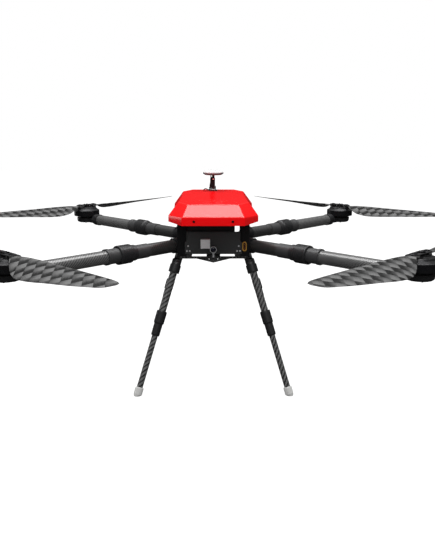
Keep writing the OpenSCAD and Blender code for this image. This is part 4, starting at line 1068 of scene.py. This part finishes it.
def blade(name, arm, half_turn, body, node):
    """One blade along +Y of its motor, or turned half round, with its leading edge into the turn."""
    lead_side = -SPIN[arm]
    place = motor_place(arm) @ Matrix.Rotation(math.pi * half_turn, 4, "Z")
    shape = bmesh.new()
    uv = shape.loops.layers.uv.verify()
    flat = {}
    rings = []
    first, end = STATIONS[0][0], STATIONS[-1][0]
    for j in range(SPANS + 1):
        share = first + (end - first) * (1 - math.cos(math.pi * j / SPANS)) / 2
        lead_edge, trail, rise, drop, thick = station_at(share)
        ring = []
        for k in range(SECTION_POINTS):
            angle = 2 * math.pi * k / SECTION_POINTS
            c = (1 - math.cos(angle)) / 2
            half = thick / 2 * math.sin(angle) * (1 - 0.45 * c)
            bow = thick * 0.8 * c * (1 - c) * min(1, max(0, (share - 0.04) / 0.05))
            x = lead_side * (lead_edge - c * (lead_edge + trail)) * MM
            y = FOLD_R + share * (TIP_R - FOLD_R)
            z = blade_mid + (rise - c * (rise + drop) + half + bow) * MM
            vertex = shape.verts.new(place @ Vector((x, y, z)))
            flat[vertex] = (x, y)
            ring.append(vertex)
        rings.append(ring)
    for lower, upper in zip(rings, rings[1:]):
        for k in range(SECTION_POINTS):
            m = (k + 1) % SECTION_POINTS
            shape.faces.new((lower[k], lower[m], upper[m], upper[k]))
    shape.faces.new(rings[0])
    shape.faces.new(rings[-1][::-1])
    for face in shape.faces:
        for loop in face.loops:
            loop[uv].uv = flat[loop.vert]
    turned(shape, [(4.05 * MM, blade_mid - 2.3 * MM), (HUB_R - 0.5 * MM, blade_mid - 2.3 * MM),
                   (HUB_R - 0.5 * MM, blade_mid + 2.3 * MM), (4.05 * MM, blade_mid + 2.3 * MM)],
           place @ Vector((0, FOLD_R, 0)), (0, 0, 1), 56, 0.3 * MM)
    fitted(piece_of(name, shape, blade_carbon), body, "carbon_blade", node)


for arm in SPIN:
    blade("carbon_blade_a_" + arm, arm, 0, "blade_a_" + arm, "blade_a_" + arm)
    blade("carbon_blade_b_" + arm, arm, 1, "blade_b_" + arm, "blade_b_" + arm)


# ---- Hood ------------------------------------------------------------------------------------------
# A bent and painted shell, 2.5 mm thick, gloss red over the whole upper deck. Its facets meet in small
# bend radii, and it hangs on four stepped straps behind its front and rear faces.
hood_paint = finish("gloss_red_paint", (0.84, 0.001, 0.003), (0.88, 0.002, 0.004), 0.17, 1400.0,
                    bump=0.02, depth=0.03 * MM, spread=0.03)
SKIRT_SIDE, SKIRT_FACE, WALL, BEND_R = 16 * MM, 21 * MM, 2.5 * MM, 2.2 * MM
CORNER_Y, FACE_X, WAIST_IN = 146 * MM, 81 * MM, 7.5 * MM
ROOF_IN_X, ROOF_IN_Y, ROOF_WAIST = 27.5 * MM, 18 * MM, 2 * MM


def hood_ring(corner_x, waist_x, corner_y, face_x, face_y, side_z, face_z):
    """One level of the hood's outline, from the waist on the right anticlockwise."""
    return [(waist_x, 0, side_z), (corner_x, corner_y, side_z), (face_x, face_y, face_z),
            (-face_x, face_y, face_z), (-corner_x, corner_y, side_z), (-waist_x, 0, side_z),
            (-corner_x, -corner_y, side_z), (-face_x, -face_y, face_z), (face_x, -face_y, face_z),
            (corner_x, -corner_y, side_z)]


x, y, z = hood_high.x, hood_high.y, hood_low.z
levels = [
    hood_ring(x, x - WAIST_IN, CORNER_Y, FACE_X, y, z, z),
    hood_ring(x, x - WAIST_IN, CORNER_Y, FACE_X, y, z + SKIRT_SIDE, z + SKIRT_FACE),
    hood_ring(x - ROOF_IN_X, x - ROOF_IN_X - ROOF_WAIST, CORNER_Y + 5 * MM, FACE_X - 14 * MM, y - ROOF_IN_Y,
              hood_high.z, hood_high.z),
]
shape = bmesh.new()
rings = [[shape.verts.new(point) for point in level] for level in levels]
for lower, upper in zip(rings, rings[1:]):
    for k in range(len(lower)):
        m = (k + 1) % len(lower)
        shape.faces.new((lower[k], lower[m], upper[m], upper[k]))
shape.faces.new(rings[-1])
mesh = bpy.data.meshes.new("hood_shell")
shape.to_mesh(mesh)
shape.free()
mesh.shade_smooth()
mesh.materials.append(hood_paint)
hood = bpy.data.objects.new("hood_shell", mesh)
scene.collection.objects.link(hood)
bends = hood.modifiers.new("bends", "BEVEL")
bends.width = BEND_R
bends.segments = 4
bends.limit_method = "ANGLE"
bends.angle_limit = math.radians(8)
wall = hood.modifiers.new("wall", "SOLIDIFY")
wall.thickness = WALL
wall.offset = -1
wall.use_even_offset = True
wall.use_rim = True
flat_faces = hood.modifiers.new("flat_faces_stay_flat", "WEIGHTED_NORMAL")
flat_faces.keep_sharp = True
settle(hood)
fitted(hood, "frame", "hood_paint", "hood")
strap_grey = finish("strap_anodised", (0.05, 0.05, 0.052), (0.08, 0.08, 0.083), 0.4, 500.0,
                    bump=0.1, Metallic=0.4)
dressed("hood_brackets", "hood_straps", strap_grey, "frame", "black_anodised", 0.4 * MM)


# ---- Antenna mast ----------------------------------------------------------------------------------
# A flat black mast that folds back on a pin between two ears on the hood. It carries the round white
# satellite antenna on a grey base, and a bright screw near its top clamps the antenna's stem.
dressed("gnss_base", "mast_hinge_base", tray_plastic, "frame", "black_plastic", 0.5 * MM)
dressed("gnss_mast", "folding_mast", tray_plastic, "mast", "black_plastic", 0.8 * MM, 3)
antenna_low, antenna_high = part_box("gnss_antenna")
stem = Vector(((antenna_low.x + antenna_high.x) / 2, (antenna_low.y + antenna_high.y) / 2, antenna_low.z))
sleeve_rubber = finish("mast_sleeve_rubber", (0.004, 0.004, 0.005), (0.008, 0.008, 0.009), 0.7, 900.0,
                       bump=0.2, Specular_IOR_Level=0.2)
shape = bmesh.new()
SLEEVE_LOW, SLEEVE_HIGH = 9 * MM, 43 * MM
oval(shape, mast_foot + Vector((-3.5 * MM, 0, (SLEEVE_LOW + SLEEVE_HIGH) / 2)), 6.5 * MM,
     (SLEEVE_HIGH - SLEEVE_LOW) / 2, mast_low.y - 1 * MM, 7 * MM)
fitted(piece_of("mast_lead_sleeve", shape, sleeve_rubber, 2 * MM, 4), "mast", "black_plastic")
screws("mast_clamp_screw", [(Vector((0, mast_low.y - 1 * MM, antenna_low.z - 13 * MM)), (0, -1, 0))],
       2.3 * MM, 1.5 * MM, zinc_plate, "mast", "steel")
antenna_white = finish("antenna_white", (0.50, 0.50, 0.505), (0.54, 0.54, 0.545), 0.5, 1200.0, bump=0.1)
# The base's blue-green tint is painted in to cancel the red light the hood bounces up onto it.
antenna_base_painted_against_red_bounce = finish("antenna_base_grey_painted_against_red_bounce", (0.06, 0.12, 0.125), (0.08, 0.15, 0.155), 0.6, 1200.0,
                      bump=0.15, Specular_IOR_Level=0.2)
R = (antenna_high.x - antenna_low.x) / 2
shape = bmesh.new()
turned(shape, [(0, 6.4 * MM), (R - 0.6 * MM, 6.4 * MM), (R, 7 * MM), (R, 8.4 * MM), (R - 1.5 * MM, 10.5 * MM),
               (R - 6 * MM, 13 * MM), (R - 14 * MM, 14.4 * MM), (0, 15 * MM)], stem, (0, 0, 1), 96, 0.8 * MM)
fitted(piece_of("antenna_cap", shape, antenna_white), "mast", "white_plastic", "gnss_antenna")
shape = bmesh.new()
turned(shape, [(0, 0), (R - 7 * MM, 0), (R - 1.2 * MM, 3.2 * MM), (R, 4.8 * MM), (R, 5.8 * MM),
               (R - 0.6 * MM, 6.4 * MM), (0, 6.4 * MM)],
       stem, (0, 0, 1), 96, 0.5 * MM)
fitted(piece_of("antenna_base_plate", shape, antenna_base_painted_against_red_bounce), "mast", "grey_plastic")
